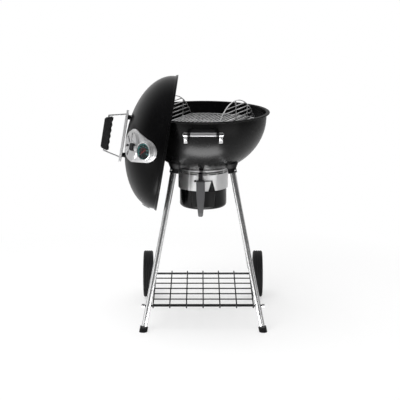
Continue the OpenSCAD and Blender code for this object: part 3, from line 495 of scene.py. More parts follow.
class Nodes:
    """A node tree with its output node, and the calls that fill it."""

    def __init__(self, tree: bpy.types.NodeTree, output: str) -> None:
        """Empties a tree and gives it an output node of a type."""
        tree.nodes.clear()
        self.tree, self.output = tree, tree.nodes.new(output)

    def node(self, kind: str, settings: dict, sockets: dict, out: int | str = 0) -> Val:
        """Adds a node.

        Args:
            kind: The node's type.
            settings: Attributes to set first; stops is a colour ramp's list.
            sockets: Values or links by input name or number.
            out: The output to hand back.

        Returns:
            The output as a Val.
        """
        made = self.tree.nodes.new(kind)
        for key, value in settings.items():
            if key == "stops":
                elements = made.color_ramp.elements
                for at, colour in value[1:-1]:
                    elements.new(at).color = colour
                for end in (0, -1):
                    elements[end].position, elements[end].color = value[end]
            else:
                setattr(made, key, value)
        self.fill(made, sockets)
        return Val(self, made.outputs[out])

    def fill(self, made: bpy.types.Node, sockets: dict) -> None:
        """Sets or links a node's inputs.

        Args:
            made: The node.
            sockets: Values or links by input name or number.
        """
        for key, value in sockets.items():
            if isinstance(value, Val):
                self.tree.links.new(value.socket, made.inputs[key])
            else:
                made.inputs[key].default_value = value

    def show(self, shader: Val) -> None:
        """Links a shader to the output."""
        self.fill(self.output, {0: shader})

    def camera_ray(self) -> Val:
        """1 where the camera looks straight at the surface, else 0."""
        return self.node("ShaderNodeLightPath", {}, {}, "Is Camera Ray")

    def where(self, space: str = "Object") -> Val:
        """Object coordinates, in metres, or the piece's UV."""
        return self.node("ShaderNodeTexCoord", {}, {}, space)

    def split(self, vector: Val) -> tuple[Val, Val, Val]:
        """The three parts of a vector."""
        parts = self.node("ShaderNodeSeparateXYZ", {}, {0: vector}).socket.node.outputs
        return Val(self, parts[0]), Val(self, parts[1]), Val(self, parts[2])

    def mixed(self, share: Val, low: Val, high: Val) -> Val:
        """Shader between low and high by share."""
        return self.node("ShaderNodeMixShader", {}, {0: share, 1: low, 2: high})


class Book(Nodes):
    """A material of one principled shader, and the patterns that drive it."""

    def __init__(self, name: str) -> None:
        """Starts a material.

        Args:
            name: The material's name.
        """
        self.material = bpy.data.materials.new(name)
        self.material.use_nodes = True
        super().__init__(self.material.node_tree, "ShaderNodeOutputMaterial")
        self.surface = self.node("ShaderNodeBsdfPrincipled", {}, {})
        self.show(self.surface)

    def set(self, **values: "Val | float | tuple") -> None:
        """Sets the shader's sockets; an underscore stands for a space."""
        sockets = {key.replace("_", " "): value for key, value in values.items()}
        self.fill(self.surface.socket.node, sockets)

    def stretch(self, vector: Val, scale: Point) -> Val:
        """A vector with each part scaled."""
        return self.node("ShaderNodeVectorMath", {"operation": "MULTIPLY"}, {0: vector, 1: scale})

    def noise(self, scale: float, detail: float, at: Val | None = None, rough: float = 0.5) -> Val:
        """Fractal noise from 0 to 1.

        Args:
            scale: Features per metre.
            detail: Count of finer layers.
            at: Its coordinates, or None for the object's.
            rough: Strength of each finer layer.

        Returns:
            The noise.
        """
        return self.node("ShaderNodeTexNoise", {}, {"Vector": at or self.where(), "Scale": scale,
                                                    "Detail": detail, "Roughness": rough})

    def mix(self, share: Val, low: Colour | Val, high: Colour | Val) -> Val:
        """Colour between two.

        Args:
            share: 0 for the first, 1 for the second.
            low: The first.
            high: The second.

        Returns:
            The colour.
        """
        first, second = (tone if isinstance(tone, Val) else (*tone, 1.0) for tone in (low, high))
        return self.node("ShaderNodeMix", {"data_type": "RGBA"}, {0: share, 6: first, 7: second}, 2)

    def relief(self, height: Val, strength: float, deep: float) -> None:
        """Bump into the shader's normal.

        Args:
            height: The height, from 0 to 1.
            strength: The bump's strength.
            deep: What a height of 1 is, in millimetres.
        """
        sockets = {"Height": height, "Strength": strength, "Distance": deep * MM}
        self.set(Normal=self.node("ShaderNodeBump", {}, sockets))


def shade(tone: Colour, factor: float) -> Colour:
    """A colour made lighter or darker."""
    return tuple(factor * part for part in tone)


# ---- Finishes -----------------------------------------------------------

@dataclass(frozen=True)
class Enamel:
    """Black porcelain enamel: glossy, with slow waves, orange peel and dust.

    Above the height matt_above, in millimetres, it is duller from handling.
    """

    name: str = "black_enamel"
    tone: Colour = (0.0025, 0.0025, 0.0027)
    rough: float = 0.24
    shine: float = 0.16
    matt_above: float = 2000.0
    handled: float = 0.3
    uneven: float = 0.05
    dusty: float = 2.2
    wave_scale: float = 9.0
    dust_scale: float = 160.0
    peel_scale: float = 420.0

    def make(self) -> bpy.types.Material:
        """Builds the material.

        Returns:
            The material.
        """
        b = Book(self.name)
        wave, dust = b.noise(self.wave_scale, detail=3.0), b.noise(self.dust_scale, detail=4.0)
        dull = b.split(b.where())[2] > self.matt_above * MM
        b.set(Base_Color=b.mix(dust.ramp(0.45, 0.9), self.tone, shade(self.tone, self.dusty)),
              Roughness=wave.ramp(0.3, 0.8) * self.uneven + dust.ramp(0.55, 0.85) * self.uneven
              + dull * self.handled + self.rough,
              Specular_IOR_Level=self.shine)
        b.relief(b.noise(self.peel_scale, detail=1.0), strength=0.08, deep=0.25)
        return b.material


@dataclass(frozen=True)
class BrushedSteel:
    """Satin stainless steel with fine scratches along one axis.

    Nearer the bowl's axis than sooty, in millimetres, it is black with soot.
    """

    name: str = "satin_steel"
    tone: Colour = (0.56, 0.56, 0.565)
    rough: float = 0.3
    grain: Point = (1.0, 1.0, 14.0)
    fine: float = 260.0
    metal: float = 1.0
    sooty: float = 0.0
    soot: Colour = (0.004, 0.004, 0.004)
    dark: float = 0.82
    scratched: float = 0.12
    clouded: float = 0.06
    cloud_scale: float = 14.0

    def make(self) -> bpy.types.Material:
        """Builds the material.

        Returns:
            The material.
        """
        b = Book(self.name)
        lines = b.noise(self.fine, detail=3.0, at=b.stretch(b.where(), self.grain), rough=0.65)
        cloud = b.noise(self.cloud_scale, detail=3.0)
        tone, metal = b.mix(lines.full(), shade(self.tone, self.dark), self.tone), self.metal
        if self.sooty:
            x, y, _ = b.split(b.where())
            out = (x - STAND.origin[0] * MM).hypot(y - STAND.origin[1] * MM)
            clean = out > self.sooty * MM
            tone, metal = b.mix(clean, self.soot, tone), clean * self.metal
        b.set(Metallic=metal, Base_Color=tone,
              Roughness=lines.ramp(0.25, 0.75) * self.scratched + cloud.full() * self.clouded
              + self.rough)
        b.relief(lines, strength=0.12, deep=0.08)
        return b.material


@dataclass(frozen=True)
class Plated:
    """Plated metal: bright, with cloudy roughness and small pits."""

    name: str
    tone: Colour
    rough: float
    cloud: float = 0.06
    pits: float = 0.05
    metal: float = 1.0
    dull: float = 0.9
    cloud_scale: float = 26.0
    pit_scale: float = 700.0

    def make(self) -> bpy.types.Material:
        """Builds the material.

        Returns:
            The material.
        """
        b = Book(self.name)
        haze = b.noise(self.cloud_scale, detail=4.0)
        b.set(Metallic=self.metal,
              Base_Color=b.mix(haze.ramp(0.3, 0.75), shade(self.tone, self.dull), self.tone),
              Roughness=haze.full() * self.cloud + self.rough)
        b.relief(b.noise(self.pit_scale, detail=2.0), strength=self.pits, deep=0.05)
        return b.material


@dataclass(frozen=True)
class Painted:
    """Satin paint, plastic, rubber or coating with a fine texture and broad clouds."""

    name: str
    tone: Colour
    rough: float
    grain: float = 900.0
    depth: float = 0.12
    shine: float = 0.4
    pale: float = 1.5
    textured: float = 0.12
    clouded: float = 0.06
    cloud_scale: float = 22.0

    def make(self) -> bpy.types.Material:
        """Builds the material.

        Returns:
            The material.
        """
        b = Book(self.name)
        fine, broad = b.noise(self.grain, detail=3.0), b.noise(self.cloud_scale, detail=3.0)
        b.set(Base_Color=b.mix(broad.ramp(0.35, 0.75), self.tone, shade(self.tone, self.pale)),
              Roughness=fine.full() * self.textured + broad.full() * self.clouded + self.rough,
              Specular_IOR_Level=self.shine)
        b.relief(fine, strength=self.depth, deep=0.12)
        return b.material


# The thermometer's scale: the angle of its first number on the face, and the
# angle from there to its last one, clockwise.
SCALE_FIRST = 140.0
SCALE_SWEEP = 250.0


@dataclass(frozen=True)
class Dial:
    """Printed face of the thermometer, drawn from the face's UV in its own radii.

    The scale runs between two turns, counted from the left of the face. The
    marks, the border and the warm zone each lie between two radii, and wide
    is half the width of the short and of the long marks, in their steps.
    """

    name: str = "dial_print"
    face: Colour = (0.006, 0.008, 0.009)
    mark: Colour = (0.10, 0.42, 0.40)
    warm: Colour = (0.10, 0.008, 0.007)
    scale: Span = ((SCALE_FIRST - SCALE_SWEEP) / 360 + 0.5, SCALE_FIRST / 360 + 0.5)
    end: float = 0.004
    marks: int = 36
    long_marks: int = 6
    short: Span = (0.8, 0.93)
    long: Span = (0.74, 0.93)
    border: Span = (0.93, 0.955)
    zone: Span = (0.30, 0.44)
    zone_turn: Span = (0.26, 0.82)
    wide: Span = (0.2, 0.05)
    rough: float = 0.45
    uneven: float = 0.1
    shine: float = 0.3
    grain: float = 900.0

    def comb(self, turn: Val, count: int, wide: float) -> Val:
        """Even marks around the face, counted from the scale's end.

        A mark is where the steps from there are nearer a whole number than wide.

        Args:
            turn: The turn from 0 to 1.
            count: Marks in a full turn.
            wide: Half a mark's width, as a share of the step between marks.

        Returns:
            1 on a mark, else 0.
        """
        step = (turn - self.scale[0]) * count
        return ((step + 0.5).frac() - 0.5).abs() < wide

    def make(self) -> bpy.types.Material:
        """Builds the material: rings and marks by radius and angle of the UV.

        Returns:
            The material.
        """
        b = Book(self.name)
        x, y, _ = b.split(b.where("UV"))
        r = x.hypot(y)
        turn = b.node("ShaderNodeMath", {"operation": "ARCTAN2"}, {0: y, 1: x}) / math.tau + 0.5
        on_scale = turn.within(self.scale[0] - self.end, self.scale[1] + self.end)
        short = r.within(*self.short) * self.comb(turn, self.marks, self.wide[0])
        long = r.within(*self.long) * self.comb(turn, self.long_marks, self.wide[1])
        printed = ((short + long) * on_scale + r.within(*self.border)).clip()
        zone = r.within(*self.zone) * turn.within(*self.zone_turn)
        b.set(Base_Color=b.mix(printed, b.mix(zone, self.face, self.warm), self.mark),
              Roughness=b.noise(self.grain, detail=2.0).full() * self.uneven + self.rough,
              Specular_IOR_Level=self.shine)
        return b.material


@dataclass(frozen=True)
class Glass:
    """Clear thin cover glass, see-through by its alpha, with faint smears."""

    name: str = "cover_glass"
    tone: Colour = (0.02, 0.025, 0.025)
    rough: float = 0.02
    alpha: float = 0.12
    smeared: Span = (0.05, 0.04)
    smear_scale: float = 60.0

    def make(self) -> bpy.types.Material:
        """Builds the material.

        Returns:
            The material.
        """
        b = Book(self.name)
        smear = b.noise(self.smear_scale, detail=3.0)
        rougher, denser = self.smeared
        b.set(Base_Color=(*self.tone, 1.0), Roughness=smear.ramp(0.4, 0.8) * rougher + self.rough,
              Alpha=smear.ramp(0.3, 0.8) * denser + self.alpha)
        return b.material


class Look(Enum):
    """The finishes of the grill."""

    ENAMEL = Enamel(matt_above=892.0)
    LID_ENAMEL = Enamel("lid_enamel", rough=0.27, shine=0.07)
    PAN = Enamel("pan_enamel", rough=0.12, shine=0.2)
    SATIN = BrushedSteel()
    COVER = BrushedSteel("cover_steel", (0.74, 0.74, 0.745), 0.3, (1.0, 14.0, 1.0), metal=0.8)
    BAND = BrushedSteel("band_steel", (0.78, 0.78, 0.78), 0.22, (1.0, 1.0, 10.0), 300.0, 0.72)
    COLLAR = BrushedSteel("collar_steel", (0.78, 0.78, 0.78), 0.26, (1.0, 1.0, 10.0), 300.0, 0.65,
                          105.6)
    BAR = BrushedSteel("handle_steel", (0.34, 0.34, 0.345), 0.42, (14.0, 1.0, 1.0), metal=0.7)
    CHROME = Plated("leg_chrome", (0.68, 0.68, 0.685), 0.18, metal=0.82)
    BRACKET = Plated("bracket_chrome", (0.55, 0.55, 0.555), 0.16)
    ZINC = Plated("zinc_plate", (0.5, 0.5, 0.51), 0.28, 0.1)
    GRATE = Plated("grate_wire", (0.72, 0.72, 0.725), 0.25, 0.12, 0.1, 0.75)
    ALU = Plated("satin_aluminium", (0.55, 0.56, 0.57), 0.35, 0.08, 0.1)
    STEEL_BLACK = Painted("black_paint", (0.003, 0.003, 0.0035), 0.42, shine=0.18)
    WIRE_BLACK = Painted("black_coating", (0.0025, 0.0025, 0.003), 0.4, 500.0, 0.08, 0.12)
    NYLON = Painted("black_nylon", (0.005, 0.005, 0.0055), 0.5, 1400.0, 0.2, 0.25)
    NYLON_GREY = Painted("grey_nylon", (0.017, 0.0175, 0.018), 0.45, 1400.0, 0.2, 0.3)
    TYRE = Painted("tyre_rubber", (0.012, 0.012, 0.013), 0.62, 800.0, 0.25, 0.3)
    NEEDLE = Painted("needle_red", (0.22, 0.01, 0.008), 0.4)
    PRINT = Painted("dial_numbers", (0.16, 0.5, 0.48), 0.5)
    DIAL = Dial()
    GLASS = Glass()

    def material(self) -> bpy.types.Material:
        """The finish's material, made once."""
        return bpy.data.materials.get(self.value.name) or self.value.make()


# ---- Bowl ---------------------------------------------------------------

@dataclass
class Bowl:
    """Enamelled bowl with its flange, rolled rim and vent slots.

    The sizes are the steel's outside, above the floor or from the bowl's
    axis. inset keeps the rolled edge within the frame's.
    """

    radius: float = 271.0
    depth: float = 240.0
    skirt: float = 20.0
    wall: float = 1.6
    rim_r: float = 285.0
    fillet: float = 2.5
    roll: float = 3.5
    roll_turn: float = 250.0
    inset: float = 0.1
    hole: float = 6.3
    floor_r: float = 22.0
    vent_in: float = 38.0
    vent_out: float = 86.0
    vent_angle: float = 24.0
    vents: int = 3
    columns: int = 240

    def profile(self) -> Array:
        """Middle of the steel from the shaft's hole to the end of the rolled edge.

        The curve is an ellipse below a short straight skirt. A small fillet
        leads to the flat flange, whose edge rolls under in an arc.

        Returns:
            Points (r, z).
        """
        a, b = self.radius - self.wall / 2, self.depth - self.wall / 2
        low, flat = RIM_Z - self.skirt, RIM_Z - self.wall / 2
        slotted = np.linspace(self.vent_in, self.vent_out, 7)
        inner = -np.degrees(np.arccos(np.array([self.hole, self.floor_r, *slotted]) / a))
        curve = bend((0.0, low), (a, b), np.concatenate([inner, np.linspace(inner[-1], 0, 52)[1:]]))
        skirt = np.array([[a, low + 0.3 * self.skirt], [a, low + 0.6 * self.skirt]])
        fillet = bend((a + self.fillet, flat - self.fillet), (self.fillet, self.fillet),
                      np.linspace(180, 90, 5))
        bead = self.roll - self.wall / 2
        edge = bend((self.rim_r - self.roll - self.inset, RIM_Z - self.roll), (bead, bead),
                    np.linspace(90, 90 - self.roll_turn, 14))
        return np.concatenate([curve, skirt, fillet, edge])

    def build(self) -> None:
        """Builds the shell, without the cells that lie in the vent slots."""
        profile = self.profile()
        radii = (profile[:-1, 0] + profile[1:, 0]) / 2
        pitch = 360 / self.vents
        angles = (np.arange(self.columns) + 0.5) * 360 / self.columns
        off = np.abs((angles + pitch / 2) % pitch - pitch / 2)
        slotted = (radii > self.vent_in) & (radii < self.vent_out)
        keep = ~(slotted[:, None] & (off < self.vent_angle / 2)[None, :])
        item = new_object("bowl_shell", [turned(profile, self.columns, keep=keep).placed(STAND)])
        thicken(item, self.wall)
        smooth(item, 45)
        settle(item, Role("stand", "enamel", ("bowl", "bowl_rim")), Look.ENAMEL)


@dataclass
class BowlGrip:
    """Steel sleeve of the bowl's handle between two black collars."""

    at: Point = (0.0, -321.0, 856.0)
    half: float = 65.0
    radius: float = 8.0
    collar: float = 12.0
    groove: float = 0.5
    groove_at: float = 5.0
    sides: int = 48

    def build(self) -> None:
        """Turns the sleeve and the collars about the handle's axis.

        Each profile is a list of steps: in from the radius, and along from
        the sleeve's or the collar's end.
        """
        place = STAND.child(self.at, rot("y", 90))
        r, end, near, deep = self.radius, self.half - self.collar, self.groove_at, self.groove
        steps = [(r, 0), (2, 0), (0.5, 0.2), (0, 1), (0, near - 1), (deep, near - 0.4),
                 (deep, near + 0.4), (0, near + 1)]
        left = np.array([(r - inward, along - end) for inward, along in steps])
        sleeve = turned(np.concatenate([left, left[::-1] * [1, -1]]), self.sides)
        add("bowl_grip_sleeve", [sleeve.placed(place)],
            Role("stand", "steel", ("bowl_handle_grip",)), Look.BAR)
        steps = [(r, 0.1), (0.8, 0.1), (0.3, 0.8), (0.3, self.collar - 1.2),
                 (1.2, self.collar - 0.2), (r, self.collar - 0.2)]
        right = np.array([(r - inward, end + along) for inward, along in steps])
        collars = [turned(right * [1, side], self.sides).placed(place) for side in (-1, 1)]
        add("bowl_grip_collars", collars, Role("stand", "nylon"), Look.NYLON)


# ---- Lid ----------------------------------------------------------------

@dataclass
class Lid:
    """Domed lid with its lip and bead, made shut and placed open.

    The lid turns about its hinge and clears the bowl's rim by sweep_gap, so
    the circle that its lower side sweeps gives the dome and the lip.
    """

    wall: float = 1.6
    sweep_gap: float = 2.0
    ledge_gap: float = 0.5
    extra: float = 3.0
    lip_drop: float = 8.0
    bead: float = 2.5
    corner: float = 1.8
    vent_at: float = 181.0
    vent_r: float = 54.0
    dial_at: float = 259.0
    stem_r: float = 8.2
    bore: float = 40.0
    columns: int = 160
    base: float = field(init=False)
    dome: Span = field(init=False)
    lip_in: float = field(init=False)
    lip_z: float = field(init=False)

    def __post_init__(self) -> None:
        """Works out the dome's outer half axes, and the lip, from the sweep."""
        drop = RIM_Z - PIVOT_Z
        sweep = math.hypot(Bowl.rim_r, drop) + self.sweep_gap
        low = drop + self.ledge_gap
        self.base = RIM_Z + self.ledge_gap
        self.dome = (math.sqrt(sweep ** 2 - low ** 2) + self.wall,
                     sweep - low + self.extra + self.wall)
        self.lip_in = math.sqrt(sweep ** 2 - (drop - self.lip_drop) ** 2)
        self.lip_z = RIM_Z - self.lip_drop

    def seat(self, out: float) -> Place:
        """Place on the dome's outer side, with its z square to the dome.

        On the ellipse with half axes a and b the height above the base is
        b * sqrt(1 - (out / a)^2), and the slope is out * b^2 / (a^2 * height).

        Args:
            out: Distance from the dome's axis, towards the front.

        Returns:
            The place.
        """
        a, b = self.dome
        height = b * math.sqrt(1 - (out / a) ** 2)
        tilt = math.degrees(math.atan(out * b ** 2 / (a ** 2 * height)))
        return LID.child([0.0, -out, self.base + height], rot("x", tilt))

    def profile(self) -> Array:
        """Middle of the steel from the top of the dome to the end of the lip.

        The dome is half an ellipse, a small ledge steps out at its base, and
        the lip hangs from the ledge.

        Returns:
            Points (r, z).
        """
        a, b = self.dome[0] - self.wall / 2, self.dome[1] - self.wall / 2
        out, flat, round_r = self.lip_in + self.wall / 2, self.base + self.wall / 2, self.corner
        dome = bend((0.0, self.base), (a, b), np.linspace(90, 1.6, 70))
        dome[0, 0] = 0.0
        ledge = np.array([[a + 0.4, flat + 1.6], [a + 1.2, flat + 0.4], [a + 2.0, flat]])
        corner = bend((out - round_r, flat - round_r), (round_r, round_r), np.linspace(90, 0, 5))
        lip = np.array([[out, flat - 2 * self.wall], [out, self.lip_z + self.bead]])
        return np.concatenate([dome, ledge, corner, lip])

    def build(self) -> None:
        """Builds the shell with the vent's and the thermometer's openings."""
        dome = turned(self.profile(), self.columns)
        bead = turned(ring(self.bead - self.wall / 2, 12,
                           (self.lip_in + self.wall, self.lip_z + self.bead)), self.columns, True)
        item = new_object("lid_dome", [dome.placed(LID), bead.placed(LID)])
        thicken(item, self.wall)
        for out, radius in ((self.vent_at, self.vent_r), (self.dial_at, self.stem_r)):
            cut(item, prism(ring(radius, 64), -self.bore, self.bore).placed(self.seat(out)))
        smooth(item, 40)
        settle(item, Role("lid", "enamel", ("lid_shell",)), Look.LID_ENAMEL)


@dataclass
class LidGrip:
    """Moulded grip of the lid's handle, with finger waves on its inner side."""

    lid: Lid
    shield_gap: float = 6.0
    clear: float = 64.0
    half: float = 74.0
    deep: float = 26.0
    high: float = 32.0
    slope: float = 9.0
    bevel: float = 5.0
    end_high: float = 3.0
    inward: float = 5.0
    wave: float = 2.8
    fingers: int = 5
    wavy: float = 62.0
    square: float = 3.6
    nose: float = 4.0
    taper: float = 0.7
    taper_long: float = 6.0

    def build(self) -> None:
        """Builds the grip as a loft along x.

        Each section is |y|^n + |z|^n = 1 stretched to the depth and to the
        height between the inner and the outer side. The inner side carries
        even cosine waves and stands a little inward of the handle's foot, and
        both sides meet at the ends.
        """
        x = self.half * np.sin(np.linspace(-1, 1, 161) * np.pi / 2)
        size = np.abs(x)
        knee = self.half - self.slope
        top = np.interp(size, [knee - self.bevel, knee + 1, self.half],
                        [self.high, self.high - self.bevel, self.end_high])
        ripple = 0.5 - 0.5 * np.cos(np.pi * (x / self.wavy + 1) * self.fingers)
        low = np.where(size < self.wavy, self.wave * ripple, 0.0) - self.inward
        low += np.interp(size, [self.half - self.nose, self.half],
                         [0.0, self.inward + self.end_high])
        wide = self.deep / 2 * np.interp(size, [self.half - self.taper_long, self.half],
                                         [1.0, self.taper])
        t = np.linspace(0, 2 * np.pi, 40, endpoint=False)
        side = np.sign(np.cos(t)) * np.abs(np.cos(t)) ** (2 / self.square)
        rise = np.sign(np.sin(t)) * np.abs(np.sin(t)) ** (2 / self.square)
        points = np.stack([
            x[:, None] + 0 * t, wide[:, None] * side,
            ((top + low) / 2)[:, None] + ((top - low) / 2)[:, None] * rise], -1)
        foot_z = self.lid.base + self.lid.dome[1] + self.shield_gap + self.clear
        add("lid_grip", [Sheet(points).placed(LID.child([0, 0, foot_z]))],
            Role("lid", "nylon", ("lid_handle_grip",)), Look.NYLON, 50)


@dataclass
class Thermometer:
    """Printed face and numbers under the thermometer's glass.

    floor is the face's lower side, out from the dome. The numbers are turned
    by number_turn, which leaves them upside down while the lid is open.
    """

    lid: Lid
    radius: float = 33.6
    hole: float = 2.4
    floor: float = 14.83
    thick: float = 0.25
    values: tuple[int, ...] = (50, 100, 150, 200, 250, 300, 350)
    number_r: float = 20.6
    number_size: float = 5.6
    number_half: float = 0.05
    number_lift: float = 0.06
    number_turn: float = 90.0

    def face(self) -> None:
        """Flat ring, with its UV running from -1 to 1 across it."""
        low, high = self.floor, self.floor + self.thick
        profile = np.array([[self.hole, low], [self.hole, high], [self.radius, high],
                            [self.radius, low]])
        sheet = turned(profile, 96, True)
        sheet.uv = sheet.points[..., :2] / self.radius
        add("thermometer_face", [sheet.placed(self.lid.seat(self.lid.dial_at))],
            Role("lid", "nylon"), Look.DIAL, 30)

    def numbers(self) -> None:
        """Raised numbers, evenly spread clockwise over the scale.

        Each number's faces are its list of corners, split where a face starts.
        """
        points, faces, start = [], [], 0
        height = self.floor + self.thick + self.number_lift
        for value, angle in zip(self.values, np.radians(np.linspace(
                SCALE_FIRST, SCALE_FIRST - SCALE_SWEEP, len(self.values)))):
            curve = bpy.data.curves.new("number", "FONT")
            curve.body, curve.size, curve.extrude = str(value), self.number_size, self.number_half
            curve.align_x, curve.align_y, curve.resolution_u = "CENTER", "CENTER", 3
            text = bpy.data.objects.new("number", curve)
            mesh = bpy.data.meshes.new_from_object(text)
            flat = np.empty(len(mesh.vertices) * 3)
            mesh.vertices.foreach_get("co", flat)
            corners, firsts = np.empty(len(mesh.loops), int), np.empty(len(mesh.polygons), int)
            mesh.loops.foreach_get("vertex_index", corners)
            mesh.polygons.foreach_get("loop_start", firsts)
            centre = [self.number_r * np.cos(angle), self.number_r * np.sin(angle), height]
            points.append(flat.reshape(-1, 3) @ rot("z", self.number_turn).T + centre)
            faces.extend(np.split(corners + start, firsts[1:]))
            start += len(mesh.vertices)
            bpy.data.objects.remove(text)
        mesh = bpy.data.meshes.new("thermometer_numbers")
        place = self.lid.seat(self.lid.dial_at)
        mesh.from_pydata(place.out(np.concatenate(points)) * MM, [], faces)
        settle(linked("thermometer_numbers", mesh), Role("lid", "nylon"), Look.PRINT)

    def build(self) -> None:
        """Builds the face and its numbers."""
        self.face()
        self.numbers()


# ---- Metal and plastic pieces that keep their CAD shape -------------------

@dataclass(frozen=True)
class Kept:
    """CAD nodes that keep their shape and get fine bevels and a finish."""

    nodes: tuple[str, ...]
    slot: str
    look: Look
    edge: float = 0.4
    angle: float = 32.0

    def build(self) -> None:
        """Builds one finished copy of each node."""
        for node in self.nodes:
            from_node(node, self.slot, self.look, self.edge, self.angle)


KEPT = (
    Kept(("leg_front_left", "leg_front_right", "leg_rear_left", "leg_rear_right"),
         "chrome", Look.CHROME),
    Kept(("leg_socket_front_left", "leg_socket_front_right", "leg_socket_rear_left",
          "leg_socket_rear_right", "axle_bracket_left", "axle_bracket_right", "hinge_bracket",
          "lever_arm", "lid_hinge_arm"), "black_steel", Look.STEEL_BLACK),
    Kept(("foot_cap_left", "foot_cap_right", "wheel_hub_left", "wheel_hub_right",
          "lid_standoffs", "vent_tab"), "nylon", Look.NYLON, 0.8),
    Kept(("wheel_tyre_left", "wheel_tyre_right"), "tyre", Look.TYRE, 1.0),
    Kept(("bowl_handle_bracket_left", "bowl_handle_bracket_right"), "chrome", Look.BRACKET, 0.8),
    Kept(("stand_bolts", "axle", "axle_nuts", "hinge_pin", "hinge_stops",
          "shelf_nuts", "damper_shaft", "lid_bolts", "lid_handle_rod", "lid_strap", "vent_rivet"),
         "zinc", Look.ZINC, 0.3),
    Kept(("grate_supports", "charcoal_supports", "pan_clips"), "steel", Look.SATIN),
    Kept(("lid_heat_shield", "lid_vent_plate", "vent_disc", "thermometer_case"), "steel",
         Look.COVER),
    Kept(("ash_band",), "steel", Look.BAND, 0.2),
    Kept(("ash_collar",), "alu", Look.COLLAR, 0.2),
    Kept(("damper_blades",), "alu", Look.ALU, 0.2),
    Kept(("shelf", "shelf_rod", "pan_latch", "charcoal_grate"), "black_wire",
         Look.WIRE_BLACK, 0.0, 50.0),
    Kept(("cooking_grate", "grate_flap_left", "grate_flap_right"), "chrome_wire",
         Look.GRATE, 0.0, 50.0),
    Kept(("lever_grip",), "grey_nylon", Look.NYLON_GREY, 1.2),
    Kept(("ash_pan",), "enamel", Look.PAN, 0.3),
    Kept(("thermometer_glass",), "glass", Look.GLASS, 0.0),
    Kept(("thermometer_needle",), "needle", Look.NEEDLE, 0.0),
)


# ---- Studio, in metres ----------------------------------------------------

class Seen(Enum):
    """What a lamp lights: matt surfaces or reflections."""

    MATT = (True, False)
    MIRRORED = (False, True)


@dataclass(frozen=True)
class Lamp:
    """One soft rectangular light."""

    name: str
    at: Point
    aim: Point
    size: Span
    watts: float
    seen: Seen

    def axes(self) -> Array:
        """Axes of the light: z away from its aim, and x as near X as is square to it.

        A light whose z is within about 26 degrees of X takes Y instead.

        Returns:
            The 3 by 3 matrix with the axes as columns.
        """
        back = np.subtract(self.at, self.aim)
        z = back / np.linalg.norm(back)
        nearly_x = 0.9
        hint = np.eye(3)[0 if abs(z[0]) < nearly_x else 1]
        x = hint - (hint @ z) * z
        x = x / np.linalg.norm(x)
        return np.stack([x, np.cross(z, x), z], axis=1)

    def build(self) -> None:
        """Adds the light, facing its aim."""
        data = bpy.data.lights.new(self.name, "AREA")
        data.shape = "RECTANGLE"
        data.size, data.size_y = self.size
        data.energy = self.watts
        lamp = bpy.data.objects.new(self.name, data)
        lamp.visible_camera = False
        lamp.visible_diffuse, lamp.visible_glossy = self.seen.value
        matrix = np.eye(4)
        matrix[:3, :3], matrix[:3, 3] = self.axes(), self.at
        lamp.matrix_world = Matrix(matrix.tolist())
        bpy.context.scene.collection.objects.link(lamp)


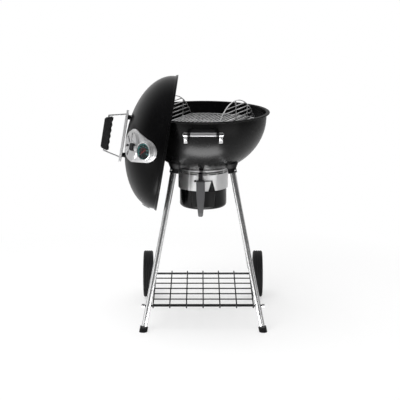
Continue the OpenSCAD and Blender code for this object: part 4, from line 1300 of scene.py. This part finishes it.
@dataclass(frozen=True)
class Studio:
    """White floor and surround, soft lights, and the camera.

    room holds the surround's brightness by the direction's part along +Y,
    from 0 in front to 1 behind. The camera sees the floor mixed with plain
    white by the shares in glow: the first near the grill, and the second
    further out, between the distances in fade.
    """

    camera_at: Point = (0.06507, -6.18335, 1.9253)
    tilt: float = 77.07
    lens: float = 131.3
    sensor: float = 36.0
    half_floor: float = 14.0
    fade: Span = (0.7, 1.6)
    glow: Span = (0.58, 1.0)
    white: Colour = (0.90, 0.90, 0.90)
    whiter: Colour = (0.92, 0.92, 0.92)
    room: tuple[Span, ...] = ((0.0, 0.05), (0.5, 0.08), (0.64, 0.35), (0.8, 1.0), (1.0, 1.0))
    lamps: tuple[Lamp, ...] = (
        Lamp("top", (-0.3, -0.2, 3.2), (0.0, 0.0, 0.5), (3.0, 3.0), 105.0, Seen.MATT),
        Lamp("front", (-1.4, -2.6, 3.0), (0.0, 0.0, 0.5), (1.6, 1.6), 45.0, Seen.MATT),
        Lamp("under", (0.08, -0.5, 0.02), (0.08, -0.5, 1.0), (0.8, 0.4), 11.5, Seen.MIRRORED),
        Lamp("left", (-1.3, -1.1, 0.3), (0.0, -0.2, 0.35), (1.3, 0.8), 3.0, Seen.MIRRORED),
        Lamp("side", (-2.2, -0.7, 0.7), (-0.1, -0.25, 0.78), (1.6, 1.2), 5.0, Seen.MIRRORED),
        Lamp("right", (1.3, -1.3, 0.3), (0.0, -0.2, 0.35), (1.1, 0.8), 2.4, Seen.MIRRORED),
    )

    def surround(self) -> None:
        """Room that is white behind the grill, dim in front, and white to the camera."""
        world = bpy.data.worlds.new("surround")
        world.use_nodes = True
        n = Nodes(world.node_tree, "ShaderNodeOutputWorld")
        behind = n.split(n.where())[1].ramp(-1.0, 1.0)
        stops = [(at, (level, level, level, 1.0)) for at, level in self.room]
        room = n.node("ShaderNodeValToRGB", {"stops": stops}, {0: behind})
        lit = n.node("ShaderNodeBackground", {}, {0: room})
        white = n.node("ShaderNodeBackground", {}, {0: (1.0, 1.0, 1.0, 1.0)})
        n.show(n.mixed(n.camera_ray(), lit, white))
        bpy.context.scene.world = world

    def floor(self) -> None:
        """Wide white floor, mixed with plain white for the camera alone."""
        side = self.half_floor
        mesh = bpy.data.meshes.new("floor")
        mesh.from_pydata([(-side, -side, 0), (side, -side, 0), (side, side, 0), (-side, side, 0)],
                         [], [(0, 1, 2, 3)])
        b = Book("floor_white")
        x, y, _ = b.split(b.where())
        low, high = self.glow
        share = (x.hypot(y).ramp(*self.fade) * (high - low) + low) * b.camera_ray()
        b.set(Base_Color=b.mix(b.noise(3.0, detail=2.0), self.white, self.whiter),
              Roughness=0.7, Specular_IOR_Level=0.1)
        b.show(b.mixed(share, b.surface, b.node("ShaderNodeEmission", {}, {})))
        mesh.materials.append(b.material)
        linked("floor", mesh)

    def camera(self) -> None:
        """Camera that looks along +Y, tilted from straight down."""
        data = bpy.data.cameras.new("camera")
        data.lens, data.sensor_width = self.lens, self.sensor
        camera = bpy.data.objects.new("camera", data)
        camera.location = self.camera_at
        camera.rotation_euler = (math.radians(self.tilt), 0.0, 0.0)
        bpy.context.scene.collection.objects.link(camera)
        bpy.context.scene.camera = camera

    def build(self) -> None:
        """Builds the surround, floor, lights and camera."""
        bpy.context.scene.view_settings.view_transform = "Standard"
        self.surround()
        self.floor()
        for lamp in self.lamps:
            lamp.build()
        self.camera()


def main() -> None:
    """Builds the grill and its studio."""
    logging.basicConfig(level=logging.INFO, format="%(message)s")
    for name in ("Cube", "Light", "Camera"):
        if name in bpy.data.objects:
            bpy.data.objects.remove(bpy.data.objects[name])
    lid = Lid()
    for part in (Studio(), Bowl(), BowlGrip(), lid, LidGrip(lid), Thermometer(lid), *KEPT):
        part.build()
        LOG.info("%s done", type(part).__name__)


if __name__ == "__main__":
    main()
